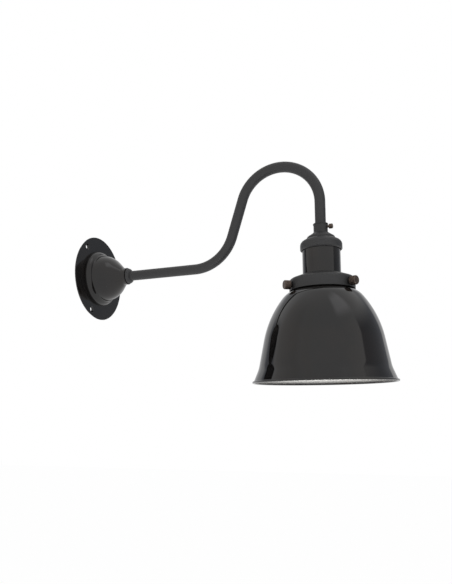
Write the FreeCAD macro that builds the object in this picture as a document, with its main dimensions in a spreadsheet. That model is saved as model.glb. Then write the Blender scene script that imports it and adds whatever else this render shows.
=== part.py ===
import FreeCAD, Part
import math
import os
import Sketcher

# A swan-neck wall sconce: a round wall plate with a stepped boss, a bent tube, and at its lower
# end a lampholder, a gallery with three thumb screws and a bell shade.
#
# Origin: the centre of the wall plate's back face. +X runs out from the wall along the arm, +Z up.
# The head's pieces are drawn from the lower end of the tube: local z is 0 there, and depths go down.

SIZES = {
    # wall plate
    "plate_radius": 59.0,
    "plate_thick": 3.0,
    "plate_edge": 2.0,
    "fixing_margin": 7.0,
    "fixing_hole": 2.6,
    "fixing_sink": 4.3,
    "fixing_angle": 7.6,
    "cable_hole": 9.0,
    # stepped boss on the plate
    "dome_radius": 40.0,
    "dome_wall": 2.6,
    "dome_side": 1.5,
    "belly_bend": 8.0,
    "belly_angle": 62.0,
    "belly_face": 1.1,
    "step_bend": 2.5,
    "step_angle": 54.0,
    "crown_bend": 35.6,
    "crown_angle": 38.0,
    "crown_run": 13.4,
    "nozzle_bend": 4.0,
    "nozzle_length": 4.4,
    "dome_seat": 37.0,
    "dome_screw_inset": 6.8,
    "dome_screw_angle": 67.6,
    "dome_screw_radius": 1.95,
    "dome_screw_head": 3.8,
    "dome_screw_length": 8.4,
    "boss_radius": 3.6,
    "boss_length": 7.2,
    "boss_end": 1.0,
    # arm
    "tube_radius": 7.0,
    "tube_wall": 1.6,
    "tube_tail": 26.0,
    "arm_run": 157.9,
    "low_bend": 58.0,
    "rise_angle": 72.1,
    "rise_length": 52.6,
    "top_bend": 54.4,
    "arm_drop": 40.5,
    "collar_radius": 11.0,
    "collar_length": 6.0,
    "collar_bevel": 0.7,
    "collar_land": 0.6,
    "collar_bend": 4.6,
    "collar_angle": 62.0,
    "nut_flats": 18.0,
    "nut_thick": 5.0,
    "washer_radius": 10.6,
    "washer_thick": 1.0,
    "washer_teeth": 12.0,
    "washer_notch": 1.6,
    "washer_notch_width": 1.2,
    "bush_wall": 1.0,
    "bush_flange": 1.2,
    "bush_depth": 5.0,
    # wiring
    "wire_radius": 1.1,
    "wire_pitch": 2.6,
    "wire_end_gap": 0.3,
    "wire_bend": 5.0,
    "wire_sweep": 14.0,
    "post_bend": 3.2,
    "tag_bend": 3.4,
    "block_width": 20.0,
    "block_tall": 15.0,
    "block_deep": 14.0,
    "block_rise": 10.5,
    "pole_pitch": 10.0,
    "barrel_radius": 2.6,
    "barrel_bore": 1.5,
    "clamp_radius": 1.4,
    "clamp_inset": 4.0,
    "clamp_sunk": 0.8,
    "clamp_proud": 1.6,
    "clamp_slot": 0.5,
    "clamp_slot_depth": 0.7,
    "block_screw_radius": 1.0,
    "block_screw_head": 2.1,
    "block_screw_deep": 1.6,
    "block_screw_skin": 0.6,
    "screw_end_gap": 0.2,
    "screw_crown": 0.5,
    "screw_slot": 0.7,
    "screw_slot_depth": 0.8,
    "tag_thick": 0.8,
    "tag_radius": 4.2,
    "tag_tongue": 3.0,
    "tag_neck": 0.6,
    "tag_sleeve": 1.75,
    "tag_sleeve_length": 4.5,
    "earth_drop": 19.0,
    "earth_screw_radius": 1.6,
    "earth_screw_head": 3.4,
    "earth_screw_deep": 2.2,
    # cap on the lower end of the tube
    "neck_radius": 9.2,
    "neck_bead": 0.6,
    "neck_bead_bevel": 0.4,
    "neck_bead_length": 1.6,
    "neck_top": 10.6,
    "neck_foot": 0.6,
    "cap_wall": 1.8,
    "cap_foot_radius": 10.8,
    "cap_foot_depth": 2.3,
    "cap_eave_angle": 34.2,
    "cap_eave_bend": 2.5,
    "cap_eave_radius": 18.3,
    "cap_eave_inside": 0.6,
    "cap_step_depth": 9.5,
    "cap_roof_angle": 28.2,
    "cap_radius": 27.1,
    "cap_corner": 6.9,
    "cap_depth": 25.0,
    "cap_lip": 1.5,
    "cap_throat": 5.9,
    "cap_throat_thick": 2.4,
    "cap_boss_radius": 3.2,
    "cap_boss_under": 1.5,
    "head_boss_depth": 12.4,
    "set_screw_height": 6.25,
    "set_screw_radius": 1.7,
    "set_screw_knob": 3.2,
    "set_screw_start": 10.9,
    "set_screw_reach": 16.1,
    "set_screw_round": 1.5,
    "set_screw_bevel": 0.5,
    # lampholder
    "holder_radius": 24.5,
    "holder_bevel": 0.8,
    "holder_top": 15.8,
    "holder_foot": 56.5,
    "spigot_radius": 21.0,
    "spigot_end": 73.2,
    "chamber_radius": 14.6,
    "chamber_floor": 31.0,
    "web_under": 43.1,
    "socket_bore": 14.2,
    "shell_radius": 13.9,
    "shell_wall": 0.4,
    "shell_thread": 1.05,
    "shell_pitch": 3.63,
    "shell_end": 71.2,
    "shell_collar": 2.0,
    "holder_screw_bite": 4.2,
    "head_screw_bite": 2.6,
    "holder_screw_spread": 17.6,
    "holder_screw_radius": 1.5,
    "holder_screw_head": 2.7,
    "holder_screw_deep": 1.8,
    "post_spread": 9.5,
    "post_radius": 2.9,
    "post_tall": 8.0,
    "post_pin": 1.4,
    "rivet_rim": 0.9,
    "rivet_thick": 0.7,
    "strip_thick": 0.5,
    "strip_width": 5.0,
    "strip_margin": 2.5,
    "contact_root": 6.8,
    "contact_angle": 19.0,
    "contact_length": 9.0,
    "contact_nose": 1.1,
    "contact_width": 4.2,
    "head_earth_offset": 13.0,
    # gallery and its screws
    "gallery_wall": 1.3,
    "gallery_radius": 42.2,
    "gallery_flat": 25.2,
    "gallery_angle": 20.8,
    "gallery_corner": 4.2,
    "band_below": 6.0,
    "ring_radius": 24.9,
    "ring_thick": 5.0,
    "ring_flange": 1.2,
    "ring_notch": 1.2,
    "ring_notch_width": 3.2,
    "ring_notches": 8.0,
    "thumb_depth": 71.5,
    "thumb_angle": -25.5,
    "thumb_shank": 2.4,
    "thumb_tip": 0.6,
    "thumb_knob": 5.8,
    "thumb_gap": 1.3,
    "thumb_length": 8.9,
    "thumb_chamfer": 0.8,
    "thumb_flutes": 24.0,
    "thumb_flute": 0.35,
    # shade
    "shade_wall": 1.0,
    "shade_neck": 40.0,
    "shade_seat": 1.9,
    "shade_neck_below": 4.1,
    "flare_bend": 4.0,
    "flare_angle": 60.15,
    "shoulder_bend": 33.8,
    "shoulder_angle": 22.4,
    "bell_bend": 128.6,
    "bell_angle": 26.45,
    "skirt_length": 32.95,
    "lip_bend": 42.0,
    "lip_angle": 11.3,
    "lip_length": 13.1,
    "rim_bead": 1.5,
    "rim_lead": 1.2,
    # fits
    "slip_gap": 0.05,
    "seat_gap": 0.1,
    "body_gap": 0.3,
}

doc = FreeCAD.newDocument("sconce")
sheet = doc.addObject("Spreadsheet::Sheet", "Sizes")


class Size:
    """A number together with the sheet formula it comes from."""

    def __init__(self, number, formula):
        self.number = float(number)
        self.formula = formula

    def __float__(self):
        return self.number

    def __add__(self, other):
        return Size(self.number + float(other), f"({self.formula} + {text(other)})")

    def __radd__(self, other):
        return Size(float(other) + self.number, f"({text(other)} + {self.formula})")

    def __sub__(self, other):
        return Size(self.number - float(other), f"({self.formula} - {text(other)})")

    def __rsub__(self, other):
        return Size(float(other) - self.number, f"({text(other)} - {self.formula})")

    def __mul__(self, other):
        return Size(self.number * float(other), f"({self.formula} * {text(other)})")

    def __rmul__(self, other):
        return self * other

    def __truediv__(self, other):
        return Size(self.number / float(other), f"({self.formula} / {text(other)})")

    def __neg__(self):
        return Size(-self.number, f"(0 - {self.formula})")


def text(value):
    return value.formula if isinstance(value, Size) else repr(float(value))


def sine(angle):
    return Size(math.sin(math.radians(float(angle))), f"sin({text(angle)} * 1 deg)")


def cosine(angle):
    return Size(math.cos(math.radians(float(angle))), f"cos({text(angle)} * 1 deg)")


def tangent(angle):
    return sine(angle) / cosine(angle)


class Sheet:
    """Gives every cell of the sheet by its name, as a Size."""

    def __getattr__(self, name):
        return Size(sheet.get(name), f"Sizes.{name}")


def fill_sheet():
    for row, (name, number) in enumerate(SIZES.items(), start=1):
        sheet.set(f"A{row}", name)
        sheet.set(f"B{row}", str(number))
        sheet.setAlias(f"B{row}", name)
    doc.recompute()


def bind(item, prop, value):
    """Ties a property of a document object to the sheet."""
    if isinstance(value, Size):
        item.setExpression(prop, value.formula)
    else:
        setattr(item, prop, value)


def place(item, x=0.0, y=0.0, z=0.0, turn=0.0, axis=(0, 0, 1)):
    """Puts a piece at x, y, z, turned about an axis through that point."""
    base = FreeCAD.Vector(float(x), float(y), float(z))
    item.Placement = FreeCAD.Placement(base, FreeCAD.Rotation(FreeCAD.Vector(*axis), float(turn)))
    for prop, value in (("x", x), ("y", y), ("z", z)):
        if isinstance(value, Size):
            item.setExpression(f"Placement.Base.{prop}", value.formula)
    if isinstance(turn, Size):
        item.setExpression("Placement.Rotation.Angle", f"{turn.formula} * 1 deg")
    return item


# Sketches: outlines drawn by a pen, each tied to the sheet.


def new_body(name):
    body = doc.addObject("PartDesign::Body", name)
    body.Label = name
    return body


def new_sketch(body, name, role, offset=0.0):
    """A sketch on one of the body's own planes, moved along that plane's normal by offset."""
    sketch = body.newObject("Sketcher::SketchObject", name)
    plane = [item for item in body.Origin.OriginFeatures if item.Role == role][0]
    sketch.AttachmentSupport = [(plane, "")]
    sketch.MapMode = "FlatFace"
    if isinstance(offset, Size):
        sketch.setExpression("AttachmentOffset.Base.z", offset.formula)
    return sketch


def constrain(sketch, *terms):
    """Adds a constraint; where its last term is a Size, the constraint follows the sheet."""
    value = terms[-1]
    if not isinstance(value, Size):
        return sketch.addConstraint(Sketcher.Constraint(*terms))
    number = float(value)
    if terms[0] == "Angle":
        number = math.radians(number)
    index = sketch.addConstraint(Sketcher.Constraint(*terms[:-1], number))
    sketch.setExpression(f"Constraints[{index}]", value.formula)
    return index


class Pen:
    """Draws one fully constrained chain of lines and tangent arcs in a sketch."""

    def __init__(self, sketch, u, v, heading=0.0):
        self.sketch = sketch
        self.start = (u, v)
        self.here = FreeCAD.Vector(float(u), float(v), 0)
        self.heading = heading
        self.first = None
        self.last = None

    def _joined(self, index, tangent):
        if self.last is None:
            self.first = index
            for kind, value in zip(("DistanceX", "DistanceY"), self.start):
                constrain(self.sketch, kind, -1, 1, index, 1, as_size(value))
        elif tangent:
            constrain(self.sketch, "Tangent", self.last, self.last_end, index, self.new_start)
        else:
            constrain(self.sketch, "Coincident", self.last, self.last_end, index, self.new_start)
        self.last = index
        self.last_end = self.new_end

    def _line(self, end, tangent=False):
        index = self.sketch.addGeometry(Part.LineSegment(self.here, end))
        self.new_start, self.new_end = 1, 2
        self._joined(index, tangent)
        self.heading = math.degrees(math.atan2(end.y - self.here.y, end.x - self.here.x))
        self.here = end
        return index

    def across(self, u):
        """A level line to u."""
        index = self._line(FreeCAD.Vector(float(u), self.here.y, 0))
        constrain(self.sketch, "Horizontal", index)
        constrain(self.sketch, "DistanceX", -1, 1, index, 2, as_size(u))
        return self

    def rise(self, v):
        """An upright line to v."""
        index = self._line(FreeCAD.Vector(self.here.x, float(v), 0))
        constrain(self.sketch, "Vertical", index)
        constrain(self.sketch, "DistanceY", -1, 1, index, 2, as_size(v))
        return self

    def to(self, u, v):
        """A line to the point u, v."""
        index = self._line(FreeCAD.Vector(float(u), float(v), 0))
        constrain(self.sketch, "DistanceX", -1, 1, index, 2, as_size(u))
        constrain(self.sketch, "DistanceY", -1, 1, index, 2, as_size(v))
        return self

    def aim(self, angle, u):
        """A line at an angle to the level, as far as u."""
        slope = math.tan(math.radians(float(angle)))
        end = FreeCAD.Vector(float(u), self.here.y + (float(u) - self.here.x) * slope, 0)
        index = self._line(end)
        constrain(self.sketch, "Angle", index, as_size(angle))
        constrain(self.sketch, "DistanceX", -1, 1, index, 2, as_size(u))
        return self

    def ahead(self, length):
        """A line straight on."""
        way = math.radians(self.heading)
        step = FreeCAD.Vector(math.cos(way), math.sin(way), 0) * float(length)
        first = self.last is None
        index = self._line(self.here + step, tangent=True)
        if first:
            constrain(self.sketch, "Angle", index, as_size(self.heading))
        constrain(self.sketch, "Distance", index, as_size(length))
        return self

    def ahead_to(self, u):
        """A line straight on, as far as u."""
        slope = math.tan(math.radians(self.heading))
        end = FreeCAD.Vector(float(u), self.here.y + (float(u) - self.here.x) * slope, 0)
        index = self._line(end, tangent=True)
        constrain(self.sketch, "DistanceX", -1, 1, index, 2, as_size(u))
        return self

    def bend(self, radius, turn, left=True):
        """A tangent arc, to the left or to the right."""
        side = 1 if left else -1
        way = math.radians(self.heading + 90 * side)
        centre = self.here + FreeCAD.Vector(math.cos(way), math.sin(way), 0) * float(radius)
        begin = way + math.pi
        finish = begin + math.radians(float(turn)) * side
        circle = Part.Circle(centre, FreeCAD.Vector(0, 0, 1), float(radius))
        arc = Part.ArcOfCircle(circle, min(begin, finish), max(begin, finish))
        index = self.sketch.addGeometry(arc)
        self.new_start, self.new_end = (1, 2) if left else (2, 1)
        self._joined(index, tangent=True)
        constrain(self.sketch, "Radius", index, as_size(radius))
        constrain(self.sketch, "Angle", index, as_size(turn))
        self.here = centre + FreeCAD.Vector(math.cos(finish), math.sin(finish), 0) * float(radius)
        self.heading += float(turn) * side
        return self

    def close(self):
        """The last line, back to the start."""
        end = FreeCAD.Vector(float(self.start[0]), float(self.start[1]), 0)
        index = self._line(end)
        constrain(self.sketch, "Coincident", index, 2, self.first, 1)

    def join(self, other):
        """Lines from this chain's two ends to the two ends of another chain."""
        index = self._line(other.here)
        constrain(self.sketch, "Coincident", index, 2, other.last, other.last_end)
        ends = [FreeCAD.Vector(float(u), float(v), 0) for u, v in (self.start, other.start)]
        index = self.sketch.addGeometry(Part.LineSegment(*ends))
        constrain(self.sketch, "Coincident", index, 1, self.first, 1)
        constrain(self.sketch, "Coincident", index, 2, other.first, 1)


def as_size(value):
    return value if isinstance(value, Size) else Size(value, repr(float(value)))


def circle(sketch, radius, u=0.0, v=0.0):
    """A circle in a sketch, centred on u, v."""
    centre = FreeCAD.Vector(float(u), float(v), 0)
    index = sketch.addGeometry(Part.Circle(centre, FreeCAD.Vector(0, 0, 1), float(radius)))
    constrain(sketch, "DistanceX", -1, 1, index, 3, as_size(u))
    constrain(sketch, "DistanceY", -1, 1, index, 3, as_size(v))
    constrain(sketch, "Radius", index, as_size(radius))


def rectangle(sketch, u0, v0, u1, v1):
    Pen(sketch, u0, v0).across(u1).rise(v1).across(u0).close()


# Features of a body.


def revolve(body, sketch, axis, kind="Revolution"):
    """Turns a sketch about one of its own axes; kind Groove takes material away instead."""
    feature = body.newObject(f"PartDesign::{kind}", f"{sketch.Name}_{kind}")
    feature.Profile = sketch
    feature.ReferenceAxis = (sketch, [axis])
    feature.Angle = 360
    return feature


def extrude(body, sketch, length, kind="Pad", reverse=False):
    """Pads or pockets a sketch by a length."""
    feature = body.newObject(f"PartDesign::{kind}", f"{sketch.Name}_{kind}")
    feature.Profile = sketch
    bind(feature, "Length", length)
    feature.Reversed = reverse
    return feature


def repeat(body, features, role, count):
    """Repeats features round one of the body's own axes."""
    pattern = body.newObject("PartDesign::PolarPattern", f"{features[0].Name}_round")
    axis = [item for item in body.Origin.OriginFeatures if item.Role == role][0]
    pattern.Originals = features
    pattern.Axis = (axis, [""])
    pattern.Angle = 360
    bind(pattern, "Occurrences", count)
    body.Tip = pattern
    return pattern


def round_edges(body, radius, wanted, name, kind="Fillet"):
    """Rounds or bevels the edges of the body's last feature that wanted(edge) picks."""
    doc.recompute()
    base = body.Tip
    picked = [f"Edge{n}" for n, edge in enumerate(base.Shape.Edges, start=1) if wanted(edge)]
    if not picked:
        raise RuntimeError(f"{body.Label}: no edge for {name}")
    feature = body.newObject(f"PartDesign::{kind}", name)
    feature.Base = (base, picked)
    bind(feature, "Radius" if kind == "Fillet" else "Size", radius)
    body.Tip = feature
    return feature


def ring_edge(radius, level, axis="z"):
    """Picks circular edges of one radius, at one level along an axis."""

    def wanted(edge):
        curve = edge.Curve
        if not isinstance(curve, Part.Circle) or abs(curve.Radius - float(radius)) > 0.01:
            return False
        return abs(getattr(curve.Center, axis) - float(level)) < 0.01

    return wanted


# Primitives for small pieces; a rod can lie along any axis of the frame.

# How far a cut runs past the face it starts from.
OVER = 1.0
UPRIGHT = {"X": ((0, 1, 0), 90.0), "Y": ((1, 0, 0), -90.0), "Z": ((0, 0, 1), 0.0)}


def rod(name, radius, length, at, along="Z"):
    """A cylinder from a point, along an axis of the frame."""
    item = doc.addObject("Part::Cylinder", name)
    bind(item, "Radius", radius)
    bind(item, "Height", length)
    axis, turn = UPRIGHT[along]
    return place(item, *at, turn=turn, axis=axis)


def block(name, sizes, at):
    item = doc.addObject("Part::Box", name)
    for prop, value in zip(("Length", "Width", "Height"), sizes):
        bind(item, prop, value)
    return place(item, *at)


def fuse(name, items):
    item = doc.addObject("Part::MultiFuse", name)
    item.Shapes = items
    item.Refine = True
    return item


def cut(name, base, tool):
    item = doc.addObject("Part::Cut", name)
    item.Base = base
    item.Tool = tool
    return item


def group(name, items):
    """Separate identical solids under one name."""
    item = doc.addObject("Part::Compound", name)
    item.Links = items
    return item


# Wall plate and boss.


def polar(radius, angle):
    """The point at a radius and an angle, as two sizes."""
    return radius * cosine(angle), radius * sine(angle)


def wall_plate(s):
    body = new_body("wall_plate")
    disc = new_sketch(body, "plate_disc", "YZ_Plane")
    circle(disc, s.plate_radius)
    circle(disc, s.cable_hole)
    circle(disc, s.block_screw_radius, 0.0, s.block_rise + s.block_tall / 2)
    circle(disc, s.earth_screw_radius, 0.0, -s.earth_drop)
    extrude(body, disc, s.plate_thick)
    round_edges(body, s.plate_edge, ring_edge(s.plate_radius, s.plate_thick, "x"), "plate_rim")
    fixings = [plate_hole(body, s, "fixing", s.fixing_hole, s.fixing_sink, front=True)]
    fixings.append(plate_hole(body, s, "dome_hole", s.dome_screw_radius + s.body_gap,
                              s.dome_screw_head + s.seat_gap, front=False))
    for feature in fixings:
        repeat(body, [feature], "X_Axis", 3)
    return body


def plate_hole(body, s, name, hole, sink, front):
    """A countersunk hole through the plate, as a groove round its own axis."""
    reach = s.plate_radius - s.fixing_margin if front else dome_screw_reach(s)
    sketch = new_sketch(body, f"{name}_profile", "XZ_Plane")
    turn = s.fixing_angle if front else s.dome_screw_angle
    tilt_sketch(sketch, turn)
    depth = sink - hole
    if front:
        pen = Pen(sketch, -OVER, reach).across(s.plate_thick + OVER).rise(reach + sink)
        pen.across(s.plate_thick).to(s.plate_thick - depth, reach + hole).across(-OVER).close()
    else:
        pen = Pen(sketch, -OVER, reach).across(s.plate_thick + OVER).rise(reach + hole)
        pen.across(depth).to(0.0, reach + sink).across(-OVER).close()
    feature = body.newObject("PartDesign::Groove", name)
    feature.Profile = sketch
    feature.ReferenceAxis = (sketch, [axis_line(sketch, reach)])
    feature.Angle = 360
    return feature


def dome_screw_reach(s):
    return s.dome_radius - s.dome_screw_inset


def tilt_sketch(sketch, angle):
    """Turns a sketch on the XZ plane about the X axis, from +Y towards +Z."""
    turn = FreeCAD.Rotation(FreeCAD.Vector(1, 0, 0), float(angle) - 90.0)
    sketch.AttachmentOffset = FreeCAD.Placement(FreeCAD.Vector(), turn)
    if isinstance(angle, Size):
        sketch.setExpression("AttachmentOffset.Rotation.Angle", f"({angle.formula} - 90) * 1 deg")


def axis_line(sketch, v):
    """A level construction line at height v, for turning about."""
    ends = [FreeCAD.Vector(u, float(v), 0) for u in (0.0, 1.0)]
    index = sketch.addGeometry(Part.LineSegment(*ends), True)
    constrain(sketch, "Horizontal", index)
    constrain(sketch, "DistanceX", -1, 1, index, 1, as_size(0.0))
    constrain(sketch, "DistanceY", -1, 1, index, 1, as_size(v))
    constrain(sketch, "Distance", index, as_size(1.0))
    return "Axis0"


def wall_dome(s):
    """The stepped boss: belly, step, crown and nozzle, with a flat seat inside for the nut."""
    body = new_body("wall_dome")
    profile = new_sketch(body, "dome_profile", "XZ_Plane")
    outer = Pen(profile, s.plate_thick, s.dome_radius).ahead(s.dome_side)
    outer.bend(s.belly_bend, s.belly_angle, left=False).ahead(s.belly_face)
    outer.bend(s.step_bend, s.step_angle).bend(s.crown_bend, s.crown_angle, left=False)
    outer.ahead(s.crown_run)
    outer.bend(s.nozzle_bend, s.belly_angle - s.step_angle + s.crown_angle).ahead(s.nozzle_length)
    outer.rise(s.tube_radius + s.slip_gap).across(s.dome_seat)
    inner = Pen(profile, s.plate_thick, s.dome_radius - s.dome_wall).ahead(s.dome_side)
    inner.bend(s.belly_bend - s.dome_wall, s.belly_angle, left=False).ahead(s.belly_face)
    inner.bend(s.step_bend + s.dome_wall, s.step_angle)
    inner.bend(s.crown_bend - s.dome_wall, s.crown_angle, left=False).ahead_to(s.dome_seat)
    outer.join(inner)
    revolve(body, profile, "H_Axis")
    across, up = polar(dome_screw_reach(s), s.dome_screw_angle)
    boss = new_sketch(body, "boss_circle", "YZ_Plane", s.plate_thick)
    circle(boss, s.boss_radius, across, up)
    boss_pad = extrude(body, boss, s.boss_length)
    hole = new_sketch(body, "boss_hole", "YZ_Plane", s.plate_thick)
    circle(hole, s.dome_screw_radius + s.slip_gap, across, up)
    hole_pocket = extrude(body, hole, s.boss_length - s.boss_end, "Pocket", reverse=True)
    repeat(body, [boss_pad, hole_pocket], "X_Axis", 3)
    return body


def nozzle_end(s):
    """How far out the nozzle's end face lies: the sum of the boss's outline along X."""
    crown_start = s.belly_angle - s.step_angle
    crown_end = crown_start + s.crown_angle
    belly = s.dome_side + s.belly_bend * sine(s.belly_angle) + s.belly_face * cosine(s.belly_angle)
    step = s.step_bend * (sine(s.belly_angle) - sine(crown_start))
    crown = s.crown_bend * (sine(crown_end) - sine(crown_start)) + s.crown_run * cosine(crown_end)
    return s.plate_thick + belly + step + crown + s.nozzle_bend * sine(crown_end) + s.nozzle_length


def dome_screws(s):
    """Three countersunk screws from the back of the plate into the boss."""
    body = new_body("dome_screws")
    profile = new_sketch(body, "dome_screw_profile", "XZ_Plane")
    tilt_sketch(profile, s.dome_screw_angle)
    reach = dome_screw_reach(s)
    depth = s.dome_screw_head - s.dome_screw_radius
    pen = Pen(profile, s.seat_gap, reach).rise(reach + s.dome_screw_head)
    pen.to(s.seat_gap + depth, reach + s.dome_screw_radius)
    pen.across(s.dome_screw_length).rise(reach).close()
    turned = body.newObject("PartDesign::Revolution", "dome_screw")
    turned.Profile = profile
    turned.ReferenceAxis = (profile, [axis_line(profile, reach)])
    turned.Angle = 360
    repeat(body, [turned], "X_Axis", 3)
    return body


# Arm.


def collar_nut(s):
    """The round nut that closes the boss's nozzle on the arm."""
    body = new_body("collar_nut")
    profile = new_sketch(body, "collar_profile", "XZ_Plane")
    start = nozzle_end(s)
    edge = start + s.collar_bevel
    pen = Pen(profile, start, s.tube_radius + s.slip_gap).rise(s.collar_radius - s.collar_bevel)
    pen.to(edge, s.collar_radius).across(edge + s.collar_land)
    pen.bend(s.collar_bend, s.collar_angle, left=False).ahead_to(start + s.collar_length)
    pen.rise(s.tube_radius + s.slip_gap).close()
    revolve(body, profile, "H_Axis")
    return body


def arm_lock_nut(s):
    """The hexagon nut on the arm's end, inside the boss."""
    body = new_body("arm_lock_nut")
    start = s.dome_seat - s.washer_thick - s.nut_thick
    face = new_sketch(body, "lock_nut_face", "YZ_Plane", start)
    corner = s.nut_flats / 2 / cosine(30.0)
    pen = Pen(face, *polar(corner, 30.0))
    for n in range(1, 6):
        pen.to(*polar(corner, 30.0 + 60.0 * n))
    pen.close()
    circle(face, s.tube_radius + s.slip_gap)
    extrude(body, face, s.nut_thick)
    return body


def arm_washer(s):
    """The toothed washer between the lock nut and its seat."""
    body = new_body("arm_washer")
    face = new_sketch(body, "washer_face", "YZ_Plane", s.dome_seat - s.washer_thick)
    circle(face, s.washer_radius)
    circle(face, s.tube_radius + s.slip_gap)
    extrude(body, face, s.washer_thick)
    notch = new_sketch(body, "washer_notch", "YZ_Plane", s.dome_seat - s.washer_thick)
    half = s.washer_notch_width / 2
    rectangle(notch, s.washer_radius - s.washer_notch, -half, s.washer_radius + OVER, half)
    notches = extrude(body, notch, s.washer_thick, "Pocket", reverse=True)
    repeat(body, [notches], "X_Axis", s.washer_teeth)
    return body


def head_x(s):
    """The distance of the shade's axis from the wall plate's back face."""
    rise = (s.low_bend + s.top_bend) * sine(s.rise_angle) + s.rise_length * cosine(s.rise_angle)
    return s.arm_run + rise + s.top_bend


def head_z(s):
    """The height of the tube's lower end over the arm's axis at the wall."""
    climb = (s.low_bend + s.top_bend) * (1.0 - cosine(s.rise_angle))
    return climb + s.rise_length * sine(s.rise_angle) - s.top_bend - s.arm_drop


def swan_neck_tube(s):
    body = new_body("swan_neck_tube")
    path = new_sketch(body, "arm_path", "XZ_Plane")
    swan_path(Pen(path, s.tube_tail, 0.0), s)
    ring = new_sketch(body, "tube_section", "YZ_Plane", s.tube_tail)
    circle(ring, s.tube_radius)
    circle(ring, s.tube_radius - s.tube_wall)
    doc.recompute()
    pipe = body.newObject("PartDesign::AdditivePipe", "arm_pipe")
    pipe.Profile = ring
    pipe.Spine = (path, [f"Edge{n + 1}" for n in range(path.GeometryCount)])
    return body


def swan_path(pen, s):
    """Out from the wall, up, over the top and down to the head."""
    pen.ahead(s.arm_run - s.tube_tail).bend(s.low_bend, s.rise_angle).ahead(s.rise_length)
    pen.bend(s.top_bend, s.rise_angle + 90.0, left=False).ahead(s.arm_drop)


def tube_bush(s, name):
    """A flanged plastic bush in a tube end, drawn pointing up from the tube's end face."""
    body = new_body(name)
    profile = new_sketch(body, f"{name}_profile", "XZ_Plane")
    bore = s.tube_radius - s.tube_wall - s.slip_gap - s.bush_wall
    pen = Pen(profile, bore, -s.bush_flange).across(s.tube_radius - s.body_gap).rise(0.0)
    pen.across(bore + s.bush_wall).rise(s.bush_depth).across(bore).close()
    revolve(body, profile, "V_Axis")
    return body


def head_place(s, item, drop=0.0):
    return place(item, head_x(s), 0.0, head_z(s) - drop)


# Wiring.


def terminal_block(s):
    """The two-pole block on the plate, its bores upright and its screws facing out."""
    body = new_body("terminal_block")
    low, high = s.block_rise, s.block_rise + s.block_tall
    front = s.plate_thick + s.block_deep
    face = new_sketch(body, "block_face", "YZ_Plane", s.plate_thick)
    rectangle(face, -s.block_width / 2, low, s.block_width / 2, high)
    extrude(body, face, s.block_deep)
    bores = new_sketch(body, "block_bores", "XY_Plane", low)
    holes = new_sketch(body, "block_screw_holes", "YZ_Plane", front)
    for side in (-1, 1):
        circle(bores, s.barrel_radius + s.slip_gap, s.plate_thick + s.block_deep / 2,
               side * s.pole_pitch / 2)
        for level in (low + s.clamp_inset, high - s.clamp_inset):
            circle(holes, s.clamp_radius + s.slip_gap, side * s.pole_pitch / 2, level)
    extrude(body, bores, s.block_tall, "Pocket", reverse=True)
    extrude(body, holes, s.block_deep / 2, "Pocket")
    middle = (low + high) / 2
    through = new_sketch(body, "block_fixing", "YZ_Plane", front)
    circle(through, s.block_screw_radius + s.slip_gap, 0.0, middle)
    extrude(body, through, s.block_deep, "Pocket")
    sink = new_sketch(body, "block_recess", "YZ_Plane", front)
    circle(sink, s.block_screw_head + s.seat_gap, 0.0, middle)
    extrude(body, sink, block_recess(s), "Pocket")
    return body


def block_recess(s):
    """The depth of the recess for the block's fixing screw, clear of the barrels."""
    return s.block_deep / 2 - s.barrel_radius - s.block_screw_skin


def terminal_barrels(s):
    """Two brass barrels, each with two screw holes."""
    body = new_body("terminal_barrels")
    across = s.plate_thick + s.block_deep / 2
    ring = new_sketch(body, "barrel_ring", "XY_Plane", s.block_rise)
    for radius in (s.barrel_radius, s.barrel_bore):
        circle(ring, radius, across, s.pole_pitch / 2)
    barrel = extrude(body, ring, s.block_tall)
    holes = new_sketch(body, "barrel_holes", "YZ_Plane", s.plate_thick + s.block_deep)
    for level in (s.block_rise + s.clamp_inset, s.block_rise + s.block_tall - s.clamp_inset):
        circle(holes, s.clamp_radius + s.slip_gap, s.pole_pitch / 2, level)
    pocket = extrude(body, holes, s.block_deep / 2, "Pocket")
    mirror = body.newObject("PartDesign::Mirrored", "barrel_pair")
    mirror.Originals = [barrel, pocket]
    mirror.MirrorPlane = ([i for i in body.Origin.OriginFeatures if i.Role == "XZ_Plane"][0], [""])
    body.Tip = mirror
    return body


def clamp_screw(s, name, at, length, along):
    """A headless slotted screw from a point, its slot at the far end."""
    shank = rod(f"{name}_shank", s.clamp_radius - s.slip_gap, length, at, along)
    reach = s.clamp_radius + OVER
    width, deep = s.clamp_slot, s.clamp_slot_depth + OVER
    foot = length - s.clamp_slot_depth
    x, y, z = at
    if along == "X":
        slot = block(f"{name}_slot", (deep, width, reach * 2), (x + foot, y - width / 2, z - reach))
    else:
        slot = block(f"{name}_slot", (reach * 2, width, deep), (x - reach, y - width / 2, z + foot))
    return cut(name, shank, slot)


def terminal_screws(s):
    """Four clamp screws in the block, one at each end of each barrel."""
    foot = s.plate_thick + s.block_deep / 2 + s.wire_radius + s.slip_gap
    length = s.plate_thick + s.block_deep - s.clamp_sunk - foot
    screws = []
    for side in (-1, 1):
        for level in (s.clamp_inset, s.block_tall - s.clamp_inset):
            at = (foot, side * s.pole_pitch / 2, s.block_rise + level)
            screws.append(clamp_screw(s, f"clamp_screw_{len(screws)}", at, length, "X"))
    return group("terminal_screws", screws)


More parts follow.
